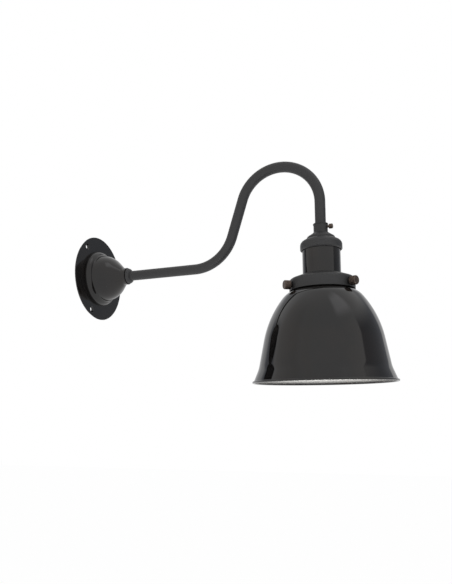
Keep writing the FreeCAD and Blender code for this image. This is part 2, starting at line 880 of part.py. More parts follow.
def pan_screw(s, name, shank, head, deep, length, at, turn):
    """A slotted pan-head screw: the underside of its head at a point, its shank behind it."""
    body = new_body(name)
    profile = new_sketch(body, f"{name}_profile", "XZ_Plane")
    pen = Pen(profile, 0.0, -length).across(shank).rise(0.0).across(head).rise(deep - s.screw_crown)
    pen.to(head - s.screw_crown, deep).across(0.0).close()
    revolve(body, profile, "V_Axis")
    slot = new_sketch(body, f"{name}_slot", "XY_Plane", deep - s.screw_slot_depth)
    half = s.screw_slot / 2
    rectangle(slot, -head - OVER, -half, head + OVER, half)
    extrude(body, slot, s.screw_slot_depth + OVER, "Pocket", reverse=True)
    return place(body, *at, turn=turn, axis=(0, 1, 0))


def block_screw(s):
    front = s.plate_thick + s.block_deep - block_recess(s)
    at = (front, 0.0, s.block_rise + s.block_tall / 2)
    return pan_screw(s, "block_screw", s.block_screw_radius, s.block_screw_head,
                     s.block_screw_deep, front - s.screw_end_gap, at, turn=90.0)


def earth_screw(s):
    at = (s.plate_thick + s.tag_thick, 0.0, -s.earth_drop)
    length = s.plate_thick + s.tag_thick - s.screw_end_gap
    return pan_screw(s, "earth_screw", s.earth_screw_radius - s.slip_gap, s.earth_screw_head,
                     s.earth_screw_deep, length, at, turn=90.0)


def ring_tag(s, name):
    """A ring terminal: its ring round the origin, its sleeve pointing along +Y."""
    body = new_body(name)
    ring = new_sketch(body, f"{name}_ring", "XY_Plane")
    circle(ring, s.tag_radius)
    circle(ring, s.earth_screw_radius + s.slip_gap)
    extrude(body, ring, s.tag_thick)
    tongue = new_sketch(body, f"{name}_tongue", "XY_Plane")
    half = s.tag_tongue / 2
    rectangle(tongue, -half, s.tag_radius - s.tag_thick, half, s.tag_radius + s.tag_neck * 2)
    extrude(body, tongue, s.tag_thick)
    sleeve = new_sketch(body, f"{name}_sleeve", "XZ_Plane", -(s.tag_radius + s.tag_neck))
    circle(sleeve, s.tag_sleeve, 0.0, s.tag_sleeve)
    extrude(body, sleeve, s.tag_sleeve_length, reverse=True)
    bore = new_sketch(body, f"{name}_bore", "XZ_Plane", -tag_bore_start(s))
    circle(bore, s.wire_radius + s.slip_gap, 0.0, s.tag_sleeve)
    extrude(body, bore, s.tag_sleeve_length, "Pocket")
    return body


def tag_bore_start(s):
    """The distance from a tag's ring centre to the blind end of its sleeve's bore."""
    return s.tag_radius + s.tag_neck + s.tag_thick


def earth_tag(s):
    """The tag on the plate, its sleeve up towards the arm."""
    item = ring_tag(s, "earth_tag")
    turn = FreeCAD.Rotation(FreeCAD.Vector(0, 1, 0), FreeCAD.Vector(0, 0, 1),
                            FreeCAD.Vector(1, 0, 0), "ZXY")
    place(item, s.plate_thick, 0.0, -s.earth_drop)
    item.Placement = FreeCAD.Placement(item.Placement.Base, turn)
    return item


def rounded_path(points):
    """Straight runs joined by tangent arcs; each point is (position, radius of its corner)."""
    edges = []
    here = points[0][0]
    for (before, _), (corner, radius), (after, _) in zip(points, points[1:], points[2:]):
        back = (before - corner).normalize()
        on = (after - corner).normalize()
        half = back.getAngle(on) / 2
        reach = radius / math.tan(half)
        begin, finish = corner + back * reach, corner + on * reach
        middle = corner + (back + on).normalize() * (radius / math.sin(half) - radius)
        if here.distanceToPoint(begin) > 0.001:
            edges.append(Part.LineSegment(here, begin).toShape())
        edges.append(Part.Arc(begin, middle, finish).toShape())
        here = finish
    edges.append(Part.LineSegment(here, points[-1][0]).toShape())
    return Part.Wire(edges)


def wire_in_arm(s, name, offset, wall_points, head_points):
    """A wire held in the arm: it follows the tube's axis at a sideways offset."""
    number = float(offset)
    bends = arm_corners(s)
    points = [(FreeCAD.Vector(*p), r) for p, r in wall_points]
    points += [(FreeCAD.Vector(x, number, z), r) for x, z, r in bends]
    points += [(FreeCAD.Vector(*p), r) for p, r in head_points]
    path = rounded_path(points)
    way = points[1][0] - points[0][0]
    ring = Part.Wire(Part.Circle(points[0][0], way, float(s.wire_radius)).toShape())
    item = doc.addObject("Part::Feature", name)
    item.Shape = path.makePipeShell([ring], True, True)
    item.Label = name
    return item


def arm_corners(s):
    """The corners of the swan neck's centreline, each with its bend radius, as x, z, radius."""
    angle = math.radians(float(s.rise_angle))
    low, top = float(s.low_bend), float(s.top_bend)
    first_x = float(s.arm_run) + low * math.tan(angle / 2)
    rise = low * math.tan(angle / 2) + float(s.rise_length)
    up = FreeCAD.Vector(math.cos(angle), 0, math.sin(angle))
    # The top bend turns by more than 90 degrees, so it is split in two at its highest point.
    reach = top * math.tan(angle / 2)
    second = FreeCAD.Vector(first_x, 0, 0) + up * (rise + reach)
    return [(first_x, 0.0, low), (second.x, second.z, top), (float(head_x(s)), second.z, top)]


def wires(s):
    """Live, neutral and earth, from the plate through the arm to the lampholder."""
    x, z = float(head_x(s)), float(head_z(s))
    middle = float(s.plate_thick + s.block_deep / 2)
    tail = float(s.tube_tail)
    made = []
    for name, side in (("live_wire", -1), ("neutral_wire", 1)):
        y = side * float(s.wire_pitch)
        pole = side * float(s.pole_pitch) / 2
        inside = float(s.block_rise + s.block_tall / 2 - s.wire_end_gap)
        at_wall = [((middle, pole, inside), 0), ((middle, pole, 0.0), float(s.wire_bend)),
                   ((tail, y, 0.0), float(s.wire_sweep))]
        level = z - float(s.chamber_floor) + float(s.post_tall) / 2
        post = side * (float(s.post_spread) + float(s.post_radius) / 2)
        at_head = [((x, y, level), float(s.post_bend)), ((x, post, level), 0)]
        made.append(wire_in_arm(s, name, y, at_wall, at_head))
    behind = float(s.plate_thick + s.tag_sleeve)
    stop = tag_bore_start(s) + s.wire_end_gap
    at_wall = [((behind, 0.0, float(stop - s.earth_drop)), 0),
               ((behind, 0.0, 0.0), float(s.wire_bend))]
    tag = float(head_z(s) - s.head_boss_depth - s.tag_sleeve)
    reach = float(s.head_earth_offset - stop)
    at_head = [((x, 0.0, tag), float(s.tag_bend)), ((x + reach, 0.0, tag), 0)]
    made.append(wire_in_arm(s, "earth_wire", 0.0, at_wall, at_head))
    return made


# Head: cap and lampholder.


def holder_cap(s):
    """The stepped cap, its neck on the tube's lower end."""
    body = new_body("holder_cap")
    profile = new_sketch(body, "cap_profile", "XZ_Plane")
    bore = s.tube_radius + s.slip_gap
    bead = s.neck_radius + s.neck_bead
    eave_start = s.cap_eave_radius - s.cap_eave_bend * (1.0 - sine(s.cap_eave_angle))
    roof_end = s.cap_radius - s.cap_corner * (1.0 - sine(s.cap_roof_angle))
    bevel = s.neck_bead_bevel
    bead_foot = s.neck_top - s.neck_bead_length
    pen = Pen(profile, bore, s.neck_top).across(bead - bevel).to(bead, s.neck_top - bevel)
    pen.rise(bead_foot + bevel).to(s.neck_radius, bead_foot).rise(-s.neck_foot)
    pen.to(s.cap_foot_radius, -s.cap_foot_depth).aim(-s.cap_eave_angle, eave_start)
    pen.bend(s.cap_eave_bend, 90.0 - s.cap_eave_angle, left=False).rise(-s.cap_step_depth)
    pen.aim(-s.cap_roof_angle, roof_end)
    pen.bend(s.cap_corner, 90.0 - s.cap_roof_angle, left=False).rise(s.cap_lip - s.cap_depth)
    pen.to(s.cap_radius - s.cap_lip, -s.cap_depth).across(s.cap_radius - s.cap_wall)
    inner_eave = s.cap_eave_radius - s.cap_wall
    corner_level = cap_corner_level(s)
    pen.rise(corner_level)
    pen.bend(s.cap_corner - s.cap_wall, 90.0 - s.cap_roof_angle).ahead_to(inner_eave)
    throat_level = -(s.bush_flange + s.cap_throat_thick)
    pen.rise(s.cap_eave_inside - s.cap_step_depth)
    pen.to(s.cap_throat + s.cap_wall * 2, throat_level)
    pen.across(s.cap_throat).rise(-s.bush_flange).across(bore).close()
    revolve(body, profile, "V_Axis")
    add_cap_bosses(body, s)
    hole = new_sketch(body, "set_screw_hole", "YZ_Plane")
    circle(hole, s.set_screw_radius + s.slip_gap, 0.0, s.set_screw_height)
    extrude(body, hole, s.neck_radius * 2, "Pocket", reverse=True)
    return head_place(s, body)


def cap_corner_level(s):
    """The local height at which the cap's rounded corner turns upright."""
    eave_start = s.cap_eave_radius
    roof_end = s.cap_radius - s.cap_corner * (1.0 - sine(s.cap_roof_angle))
    slope = (roof_end - eave_start) * tangent(s.cap_roof_angle)
    return -(s.cap_step_depth + slope + s.cap_corner * cosine(s.cap_roof_angle))


def add_cap_bosses(body, s):
    """Two bosses for the lampholder's screws and one for the earth screw."""
    pads = new_sketch(body, "holder_bosses", "XY_Plane", -s.holder_top)
    taps = new_sketch(body, "holder_taps", "XY_Plane", -s.holder_top)
    for side in (-1, 1):
        circle(pads, s.cap_boss_radius, 0.0, side * s.holder_screw_spread)
        circle(taps, s.holder_screw_radius + s.slip_gap, 0.0, side * s.holder_screw_spread)
    extrude(body, pads, s.holder_top - s.cap_step_depth - s.cap_boss_under)
    extrude(body, taps, s.holder_screw_bite + s.body_gap, "Pocket", reverse=True)
    pad = new_sketch(body, "earth_boss", "XY_Plane", -s.head_boss_depth)
    circle(pad, s.cap_boss_radius, s.head_earth_offset, 0.0)
    extrude(body, pad, s.head_boss_depth - s.cap_step_depth + s.cap_wall * 1.5)
    tap = new_sketch(body, "earth_tap", "XY_Plane", -s.head_boss_depth)
    circle(tap, s.earth_screw_radius, s.head_earth_offset, 0.0)
    extrude(body, tap, s.head_screw_bite + s.body_gap, "Pocket", reverse=True)


def set_screw(s):
    """The small knobbed screw that holds the cap on the tube."""
    body = new_body("set_screw")
    profile = new_sketch(body, "set_screw_profile", "XZ_Plane")
    arc = s.set_screw_round
    pen = Pen(profile, s.tube_radius + s.body_gap, 0.0).rise(s.set_screw_radius)
    pen.across(s.set_screw_start).rise(s.set_screw_knob - s.set_screw_bevel)
    pen.to(s.set_screw_start + s.set_screw_bevel, s.set_screw_knob)
    pen.across(s.set_screw_reach - arc)
    pen.bend(arc, 90.0, left=False).rise(0.0).close()
    revolve(body, profile, "H_Axis")
    return place(body, head_x(s), 0.0, head_z(s) + s.set_screw_height)


def head_earth_tag(s):
    item = ring_tag(s, "head_earth_tag")
    place(item, head_x(s) + s.head_earth_offset, 0.0, head_z(s) - s.head_boss_depth)
    turn = FreeCAD.Rotation(FreeCAD.Vector(0, -1, 0), FreeCAD.Vector(-1, 0, 0),
                            FreeCAD.Vector(0, 0, -1), "ZXY")
    item.Placement = FreeCAD.Placement(item.Placement.Base, turn)
    return item


def head_earth_screw(s):
    at = (head_x(s) + s.head_earth_offset, 0.0, head_z(s) - s.head_boss_depth - s.tag_thick)
    length = s.head_screw_bite + s.tag_thick
    return pan_screw(s, "head_earth_screw", s.earth_screw_radius - s.slip_gap, s.earth_screw_head,
                     s.earth_screw_deep, length, at, turn=180.0)


def holder_body(s):
    """The moulded lampholder: a wiring chamber above, the lamp socket below."""
    body = new_body("holder_body")
    profile = new_sketch(body, "holder_profile", "XZ_Plane")
    edge = s.holder_bevel
    pen = Pen(profile, 0.0, -s.chamber_floor).across(s.chamber_radius).rise(-s.holder_top)
    pen.across(s.holder_radius - edge).to(s.holder_radius, -s.holder_top - edge)
    pen.rise(-s.holder_foot).across(s.spigot_radius).rise(edge - s.spigot_end)
    pen.to(s.spigot_radius - edge, -s.spigot_end).across(s.socket_bore).rise(-s.web_under)
    pen.across(0.0).close()
    revolve(body, profile, "V_Axis")
    for name, circle_radius, hole in (
        ("holder_screw_holes", s.holder_screw_spread, s.holder_screw_radius + 2 * s.seat_gap),
        ("post_pin_holes", s.post_spread, s.post_pin + s.slip_gap),
    ):
        sketch = new_sketch(body, name, "XY_Plane", -s.spigot_end)
        for side in (-1, 1):
            circle(sketch, hole, 0.0, side * circle_radius)
        extrude(body, sketch, s.spigot_end, "Pocket", reverse=True)
    return head_place(s, body)


def holder_screws(s):
    """Two long screws, up through the lampholder into the cap."""
    length = s.spigot_end - s.holder_top + s.holder_screw_bite
    screws = []
    for n, side in enumerate((-1, 1), start=1):
        at = (head_x(s), side * s.holder_screw_spread, head_z(s) - s.spigot_end)
        screws.append(pan_screw(s, f"holder_screw_{n}", s.holder_screw_radius, s.holder_screw_head,
                                s.holder_screw_deep, length, at, turn=180.0))
    return group("holder_screws", screws)


def screw_shell(s):
    """The brass lamp shell with its rolled thread, and the ear that the neutral post holds."""
    body = new_body("screw_shell")
    profile = new_sketch(body, "shell_profile", "XZ_Plane")
    turns = int(float(s.shell_end - s.web_under - s.shell_collar) / float(s.shell_pitch))
    # One pitch of the thread: a slope in, a root, a slope out and a crest.
    slope, root = s.shell_pitch * 0.3, s.shell_pitch * 0.2
    pens = []
    for radius in (s.shell_radius, shell_bore(s)):
        level = -s.web_under - s.shell_collar
        pen = Pen(profile, radius, -s.web_under).rise(level)
        for n in range(turns):
            top = level - n * s.shell_pitch
            pen.to(radius - s.shell_thread, top - slope).rise(top - slope - root)
            pen.to(radius, top - slope * 2 - root).rise(top - s.shell_pitch)
        pens.append(pen.rise(-s.shell_end))
    pens[0].join(pens[1])
    revolve(body, profile, "V_Axis")
    ear = new_sketch(body, "shell_ear", "XY_Plane", -s.web_under)
    half = s.strip_width / 2
    rectangle(ear, -half, s.post_spread - s.strip_margin, half, shell_bore(s) + s.seat_gap)
    circle(ear, s.post_pin + s.slip_gap, 0.0, s.post_spread)
    extrude(body, ear, s.strip_thick, reverse=True)
    return head_place(s, body)


def shell_bore(s):
    return s.shell_radius - s.shell_wall


def post_terminal(s, name, side):
    """A brass post in the chamber, pinned through the web; side is -1 for live, 1 for neutral."""
    x, y, z = head_x(s), side * s.post_spread, head_z(s)
    floor = z - s.chamber_floor
    under = z - s.web_under - s.strip_thick
    rivet = under - s.rivet_thick
    solids = [rod(f"{name}_post", s.post_radius, s.post_tall, (x, y, floor)),
              rod(f"{name}_pin", s.post_pin, floor - rivet, (x, y, rivet)),
              rod(f"{name}_rivet", s.post_pin + s.rivet_rim, s.rivet_thick, (x, y, rivet))]
    if side < 0:
        start = -(s.post_spread + s.strip_margin)
        sizes = (s.strip_width, -start - s.contact_root - s.body_gap, s.strip_thick)
        solids.append(block(f"{name}_strip", sizes, (x - s.strip_width / 2, start, under)))
    solid = fuse(f"{name}_solid", solids)
    level = floor + s.post_tall / 2
    through = s.post_radius + OVER
    wire_hole = rod(f"{name}_wire_hole", s.wire_radius + s.seat_gap, through * 2,
                    (x, y - through, level), "Y")
    tap = rod(f"{name}_tap", s.clamp_radius, s.post_tall, (x, y, level))
    return cut(name, solid, fuse(f"{name}_holes", [wire_hole, tap]))


def post_screws(s):
    """The clamp screws of the two posts."""
    foot = head_z(s) - s.chamber_floor + s.post_tall / 2 + s.wire_radius + s.slip_gap
    length = s.post_tall / 2 - s.wire_radius + s.clamp_proud
    screws = []
    for side in (-1, 1):
        at = (head_x(s), side * s.post_spread, foot)
        screws.append(clamp_screw(s, f"post_screw_{len(screws)}", at, length, "Z"))
    return group("post_screws", screws)


def centre_contact(s):
    """The sprung leaf that meets the lamp's tip, from its root beside the live strip."""
    body = new_body("centre_contact")
    side = new_sketch(body, "contact_side", "YZ_Plane", -s.contact_width / 2)
    root_y, root_z = -s.contact_root, -s.web_under - s.seat_gap
    tip_y = root_y + s.contact_length * cosine(s.contact_angle)
    tip_z = root_z - s.contact_length * sine(s.contact_angle)
    # The nose turns back up at 45 degrees, as thick as the leaf.
    nose, thick = s.contact_nose, s.strip_thick * cosine(45.0)
    pen = Pen(side, root_y, root_z).to(tip_y, tip_z).to(tip_y + nose, tip_z + nose)
    pen.to(tip_y + nose + thick, tip_z + nose - thick).to(tip_y + s.seat_gap, tip_z - s.strip_thick)
    pen.to(root_y, root_z - s.strip_thick).close()
    extrude(body, side, s.contact_width)
    return head_place(s, body)


# Gallery and shade.


def gallery(s):
    """The spun gallery: a shallow cone and a band with three tapped holes."""
    body = new_body("gallery")
    profile = new_sketch(body, "gallery_profile", "XZ_Plane")
    top, wall = -s.holder_foot, s.gallery_wall
    hole = s.spigot_radius + s.seat_gap
    bend_start = gallery_bend_start(s)
    outer = Pen(profile, hole, top).across(s.gallery_flat).aim(-s.gallery_angle, bend_start)
    outer.bend(s.gallery_corner, 90.0 - s.gallery_angle, left=False).rise(-band_end(s))
    mitre = wall * tangent(s.gallery_angle / 2)
    inner = Pen(profile, hole, top - wall).across(s.gallery_flat - mitre)
    inner.aim(-s.gallery_angle, bend_start - wall * sine(s.gallery_angle))
    inner.bend(s.gallery_corner - wall, 90.0 - s.gallery_angle, left=False).rise(-band_end(s))
    outer.join(inner)
    revolve(body, profile, "V_Axis")
    tap = new_sketch(body, "thumb_hole", "YZ_Plane")
    turn_upright_sketch(tap, s.thumb_angle)
    circle(tap, s.thumb_shank + s.slip_gap, 0.0, -s.thumb_depth)
    hole = extrude(body, tap, s.gallery_radius + OVER, "Pocket", reverse=True)
    repeat(body, [hole], "Z_Axis", 3)
    return head_place(s, body)


def gallery_bend_start(s):
    """The radius at which the gallery's slope turns down into its band."""
    return s.gallery_radius - s.gallery_corner * (1.0 - sine(s.gallery_angle))


def band_end(s):
    """The depth of the band's lower edge."""
    return s.thumb_depth + s.band_below


def band_start(s):
    """The depth at which the gallery's band becomes upright."""
    slope = (gallery_bend_start(s) - s.gallery_flat) * tangent(s.gallery_angle)
    return s.holder_foot + slope + s.gallery_corner * cosine(s.gallery_angle)


def turn_upright_sketch(sketch, angle):
    """Turns a sketch on the YZ plane about the Z axis."""
    turn = FreeCAD.Rotation(FreeCAD.Vector(0, 1, 0), float(angle))
    sketch.AttachmentOffset = FreeCAD.Placement(FreeCAD.Vector(), turn)
    sketch.setExpression("AttachmentOffset.Rotation.Angle", f"{angle.formula} * 1 deg")


def gallery_nut(s):
    """The ring that clamps the gallery to the lampholder's spigot."""
    body = new_body("gallery_nut")
    under = s.holder_foot + s.gallery_wall
    face = new_sketch(body, "gallery_nut_face", "XY_Plane", -under)
    circle(face, s.ring_radius)
    circle(face, s.spigot_radius + s.slip_gap)
    extrude(body, face, s.ring_thick, reverse=True)
    notch = new_sketch(body, "gallery_nut_notch", "XY_Plane", -under - s.ring_flange)
    half = s.ring_notch_width / 2
    rectangle(notch, s.ring_radius - s.ring_notch, -half, s.ring_radius + OVER, half)
    notches = extrude(body, notch, s.ring_thick, "Pocket")
    repeat(body, [notches], "Z_Axis", s.ring_notches)
    return head_place(s, body)


def thumb_screw(s, number):
    """A fluted thumb screw, drawn along +X from the shade's axis and turned to its place."""
    body = new_body(f"thumb_screw_{number}")
    profile = new_sketch(body, f"thumb_profile_{number}", "XZ_Plane")
    knob_start = s.gallery_radius + s.thumb_gap
    knob_end = knob_start + s.thumb_length
    chamfer, tip = s.thumb_chamfer, s.thumb_tip
    start = s.shade_neck + s.body_gap
    pen = Pen(profile, start, 0.0).rise(s.thumb_shank - tip)
    pen.to(start + tip, s.thumb_shank).across(knob_start)
    pen.rise(s.thumb_knob - chamfer).to(knob_start + chamfer, s.thumb_knob)
    pen.across(knob_end - chamfer).to(knob_end, s.thumb_knob - chamfer).rise(0.0).close()
    revolve(body, profile, "H_Axis")
    flute = new_sketch(body, f"thumb_flute_{number}", "YZ_Plane", knob_start - OVER)
    circle(flute, s.thumb_flute, 0.0, s.thumb_knob)
    groove = extrude(body, flute, s.thumb_length + OVER * 2, "Pocket", reverse=True)
    repeat(body, [groove], "X_Axis", s.thumb_flutes)
    turn = s.thumb_angle - 360.0 / 3 * (number - 1)
    return place(body, head_x(s), 0.0, head_z(s) - s.thumb_depth, turn=turn)


def shade(s):
    """The bell shade: neck, flare, shoulder, bell, skirt and lip, with a rolled rim."""
    body = new_body("shade")
    profile = new_sketch(body, "shade_profile", "XZ_Plane")
    chains = []
    for inset in (as_size(0.0), s.shade_wall):
        pen = Pen(profile, s.shade_neck - inset, -shade_top(s), heading=-90.0)
        pen.ahead(neck_end(s) - shade_top(s)).bend(s.flare_bend + inset, s.flare_angle)
        pen.bend(s.shoulder_bend - inset, s.shoulder_angle, left=False)
        pen.bend(s.bell_bend - inset, s.bell_angle, left=False).ahead(s.skirt_length)
        pen.bend(s.lip_bend + inset, s.lip_angle).ahead(s.lip_length)
        chains.append(pen)
    chains[0].join(chains[1])
    revolve(body, profile, "V_Axis")
    rim = new_sketch(body, "rim_section", "XZ_Plane")
    circle(rim, s.rim_bead, *rim_centre(s))
    revolve(body, rim, "V_Axis")
    return head_place(s, body)


def shade_top(s):
    """The depth of the shade's upper edge, just under the gallery's bend."""
    return band_start(s) - s.shade_seat


def neck_end(s):
    """The depth at which the shade flares out, under the thumb screws."""
    return s.thumb_depth + s.shade_neck_below


def rim_centre(s):
    """The centre of the rolled rim's section, found along the shade's outer line."""
    across, down = s.shade_neck, neck_end(s)
    lean = as_size(0.0)
    stretches = ((s.flare_bend, s.flare_angle, 1), (s.shoulder_bend, s.shoulder_angle, -1),
                 (s.bell_bend, s.bell_angle, -1), (s.skirt_length, None, 0),
                 (s.lip_bend, s.lip_angle, 1), (s.lip_length + s.rim_lead, None, 0))
    for length, turn, side in stretches:
        if turn is None:
            across = across + length * sine(lean)
            down = down + length * cosine(lean)
            continue
        after = lean + side * turn
        across = across + side * length * (cosine(lean) - cosine(after))
        down = down + side * length * (sine(after) - sine(lean))
        lean = after
    inset = s.shade_wall / 2
    return across - inset * cosine(lean), -(down + inset * sine(lean))


# The whole sconce.


def build_parts(s):
    pieces = [wall_plate(s), wall_dome(s), dome_screws(s), collar_nut(s), arm_lock_nut(s),
              arm_washer(s), terminal_block(s), terminal_barrels(s), terminal_screws(s),
              block_screw(s), earth_screw(s), earth_tag(s), swan_neck_tube(s)]
    wall_bush = tube_bush(s, "wall_bush")
    pieces.append(place(wall_bush, s.tube_tail, 0.0, 0.0, turn=90.0, axis=(0, 1, 0)))
    pieces.append(head_place(s, tube_bush(s, "head_bush")))
    pieces += wires(s)
    pieces += [holder_cap(s), set_screw(s), head_earth_tag(s), head_earth_screw(s), holder_body(s),
               holder_screws(s), screw_shell(s), centre_contact(s),
               post_terminal(s, "live_terminal", -1), post_terminal(s, "neutral_terminal", 1),
               post_screws(s), gallery(s), gallery_nut(s)]
    pieces += [thumb_screw(s, number) for number in (1, 2, 3)]
    pieces.append(shade(s))
    return pieces


def check(pieces):
    """Stops if any object failed or any piece has no valid shape."""
    for item in doc.Objects:
        if {"Invalid", "Error"} & set(item.State):
            raise RuntimeError(f"{item.Name}: {item.State}")
    for piece in pieces:
        if piece.Shape.isNull() or not piece.Shape.isValid():
            raise RuntimeError(f"{piece.Label}: no valid shape")


def export(pieces):
    os.makedirs("parts", exist_ok=True)
    for piece in pieces:
        piece.Shape.exportStep(f"parts/{piece.Label}.step")
        print(f"{piece.Label}: {piece.Shape.Volume:.0f} mm3, {len(piece.Shape.Solids)} solids")


fill_sheet()
sconce = build_parts(Sheet())
doc.recompute()
check(sconce)
export(sconce)
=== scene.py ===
import math
import bmesh
import bpy
from mathutils import Matrix, Vector


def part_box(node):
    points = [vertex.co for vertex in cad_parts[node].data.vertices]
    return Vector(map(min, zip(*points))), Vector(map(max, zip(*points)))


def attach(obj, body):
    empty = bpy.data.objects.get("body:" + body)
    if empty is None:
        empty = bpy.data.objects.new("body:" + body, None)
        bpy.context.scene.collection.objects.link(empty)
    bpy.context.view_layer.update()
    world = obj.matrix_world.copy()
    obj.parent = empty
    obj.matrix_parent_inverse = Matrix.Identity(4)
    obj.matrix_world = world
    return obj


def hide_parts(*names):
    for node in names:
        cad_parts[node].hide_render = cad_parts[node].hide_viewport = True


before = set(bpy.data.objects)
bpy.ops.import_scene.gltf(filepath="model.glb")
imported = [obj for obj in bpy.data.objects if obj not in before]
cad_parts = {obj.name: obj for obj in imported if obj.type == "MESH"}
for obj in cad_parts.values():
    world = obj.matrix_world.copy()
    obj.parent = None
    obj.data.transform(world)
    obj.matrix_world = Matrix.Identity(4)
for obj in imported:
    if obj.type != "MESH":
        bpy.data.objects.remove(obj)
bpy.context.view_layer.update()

scene = bpy.context.scene
scene.view_settings.view_transform = "Standard"
mm = 0.001
mergeReach = 0.000002  # metres; points nearer than this become one
sharpTurn = 32.0  # degrees; flatter edges are shaded smooth
print("swan neck sconce: frame loaded,", len(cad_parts), "nodes")

# The head hangs on the lampholder's axis; its levels are counted from the tube's lower end.
holderDepth = 15.8  # mm from the tube's lower end down to the lampholder's top
holderLow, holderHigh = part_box("holder_body")
headX = (holderLow[0] + holderHigh[0]) / 2
headZ = holderHigh[2] + holderDepth * mm
wallPlace = Matrix(((0, 0, 1, 0), (1, 0, 0, 0), (0, 1, 0, 0), (0, 0, 0, 1)))  # turned about X
headPlace = Matrix.Translation((headX, 0, headZ))


def pointingPlace(degrees, level):
    # a piece turned about its own length, lying level and pointing away from the head's axis
    ahead = Vector((math.cos(math.radians(degrees)), math.sin(math.radians(degrees)), 0))
    up = Vector((0, 0, 1))
    facing = Matrix((up, ahead.cross(up), ahead)).transposed().to_4x4()
    return Matrix.Translation((headX, 0, headZ + level * mm)) @ facing


# node trees

class Wire:
    # an output of a node; sums written with it add Math nodes to the same tree
    def __init__(self, graph, socket):
        self.graph, self.socket = graph, socket

    def joined(self, operation, first, second=None):
        values = {0: first} if second is None else {0: first, 1: second}
        return self.graph.node("ShaderNodeMath", {"operation": operation}, values)

    def __add__(self, other):
        return self.joined("ADD", self, other)

    def __radd__(self, other):
        return self.joined("ADD", other, self)

    def __sub__(self, other):
        return self.joined("SUBTRACT", self, other)

    def __rsub__(self, other):
        return self.joined("SUBTRACT", other, self)

    def __mul__(self, other):
        return self.joined("MULTIPLY", self, other)

    def __rmul__(self, other):
        return self.joined("MULTIPLY", other, self)

    def __truediv__(self, other):
        return self.joined("DIVIDE", self, other)

    def __rtruediv__(self, other):
        return self.joined("DIVIDE", other, self)

    def apply(self, operation, second=None):
        return self.joined(operation, self, second)

    def part(self, name):
        return Wire(self.graph, self.socket.node.outputs[name])


class Graph:
    def __init__(self, tree):
        self.tree = tree
        tree.nodes.clear()

    def node(self, kind, settings=None, sockets=None, output=0):
        made = self.tree.nodes.new(kind)
        for name, value in (settings or {}).items():
            setattr(made, name, value)
        for name, value in (sockets or {}).items():
            if isinstance(value, Wire):
                self.tree.links.new(value.socket, made.inputs[name])
            else:
                made.inputs[name].default_value = value
        return Wire(self, made.outputs[output]) if len(made.outputs) else made

    def blend(self, amount, first, second):
        return self.node("ShaderNodeMix", {"data_type": "RGBA"},
                         {0: amount, 6: first, 7: second}, 2)

    def ease(self, value, low, high, start=0.0, end=1.0):
        return self.node("ShaderNodeMapRange", {"interpolation_type": "SMOOTHSTEP"},
                         {"Value": value, "From Min": low, "From Max": high,
                          "To Min": start, "To Max": end})


# outlines

class Outline:
    # a line drawn in millimetres by lengths and turns; u and v are the two directions of the plane
    def __init__(self, u, v, heading=0.0):
        self.points, self.heading = [(u, v)], heading

    def ahead(self, length):
        u, v = self.points[-1]
        turn = math.radians(self.heading)
        return self.to(u + length * math.cos(turn), v + length * math.sin(turn), self.heading)

    def aheadTo(self, u):
        return self.ahead((u - self.points[-1][0]) / math.cos(math.radians(self.heading)))

    def aim(self, heading, u):
        self.heading = heading
        return self.aheadTo(u)

    def to(self, u, v, heading=None):
        before = self.points[-1]
        self.points.append((u, v))
        self.heading = (math.degrees(math.atan2(v - before[1], u - before[0]))
                        if heading is None else heading)
        return self

    def across(self, u):
        return self.to(u, self.points[-1][1])

    def rise(self, v):
        return self.to(self.points[-1][0], v)

    def bend(self, radius, turn, left=True, step=3.0):
        side = 1 if left else -1
        u, v = self.points[-1]
        count = max(4, round(turn / step))
        start = math.radians(self.heading)
        for n in range(1, count + 1):
            now = start + side * math.radians(turn) * n / count
            self.points.append((u + side * radius * (math.sin(now) - math.sin(start)),
                                v - side * radius * (math.cos(now) - math.cos(start))))
        self.heading += side * turn
        return self


# the least corner in degrees, the longest share of an edge, the guard line's share, the steps
rounding = {"least": 20, "share": 0.3, "guard": 1.5, "steps": 6}


def softened(points, radius, closed):
    # small rounds on the sharp corners, each with a guard line beside it that keeps faces flat
    made, count = [], len(points)
    for n, here in enumerate(points):
        if not closed and n in (0, count - 1):
            made.append(here)
            continue
        here = Vector(here)
        before, after = Vector(points[n - 1]) - here, Vector(points[(n + 1) % count]) - here
        turn = math.pi - before.angle(after)
        if math.degrees(turn) < rounding["least"]:
            made.append(tuple(here))
            continue
        reach = min(radius * math.tan(turn / 2), before.length * rounding["share"],
                    after.length * rounding["share"])
        start, end = here + before.normalized() * reach, here + after.normalized() * reach
        made.append(tuple(here + before.normalized() * reach * rounding["guard"]))
        for k in range(rounding["steps"] + 1):
            t = k / rounding["steps"]
            made.append(tuple(start * (1 - t) ** 2 + here * 2 * t * (1 - t) + end * t * t))
        made.append(tuple(here + after.normalized() * reach * rounding["guard"]))
    return made


# turned and swept pieces

def newTree(name, sizes):
    tree = bpy.data.node_groups.new(name, "GeometryNodeTree")
    tree.interface.new_socket(name="Line", in_out="INPUT", socket_type="NodeSocketGeometry")
    for label, kind in sizes:
        tree.interface.new_socket(name=label, in_out="INPUT", socket_type="NodeSocket" + kind)
    tree.interface.new_socket(name="Piece", in_out="OUTPUT", socket_type="NodeSocketGeometry")
    return tree, Graph(tree)


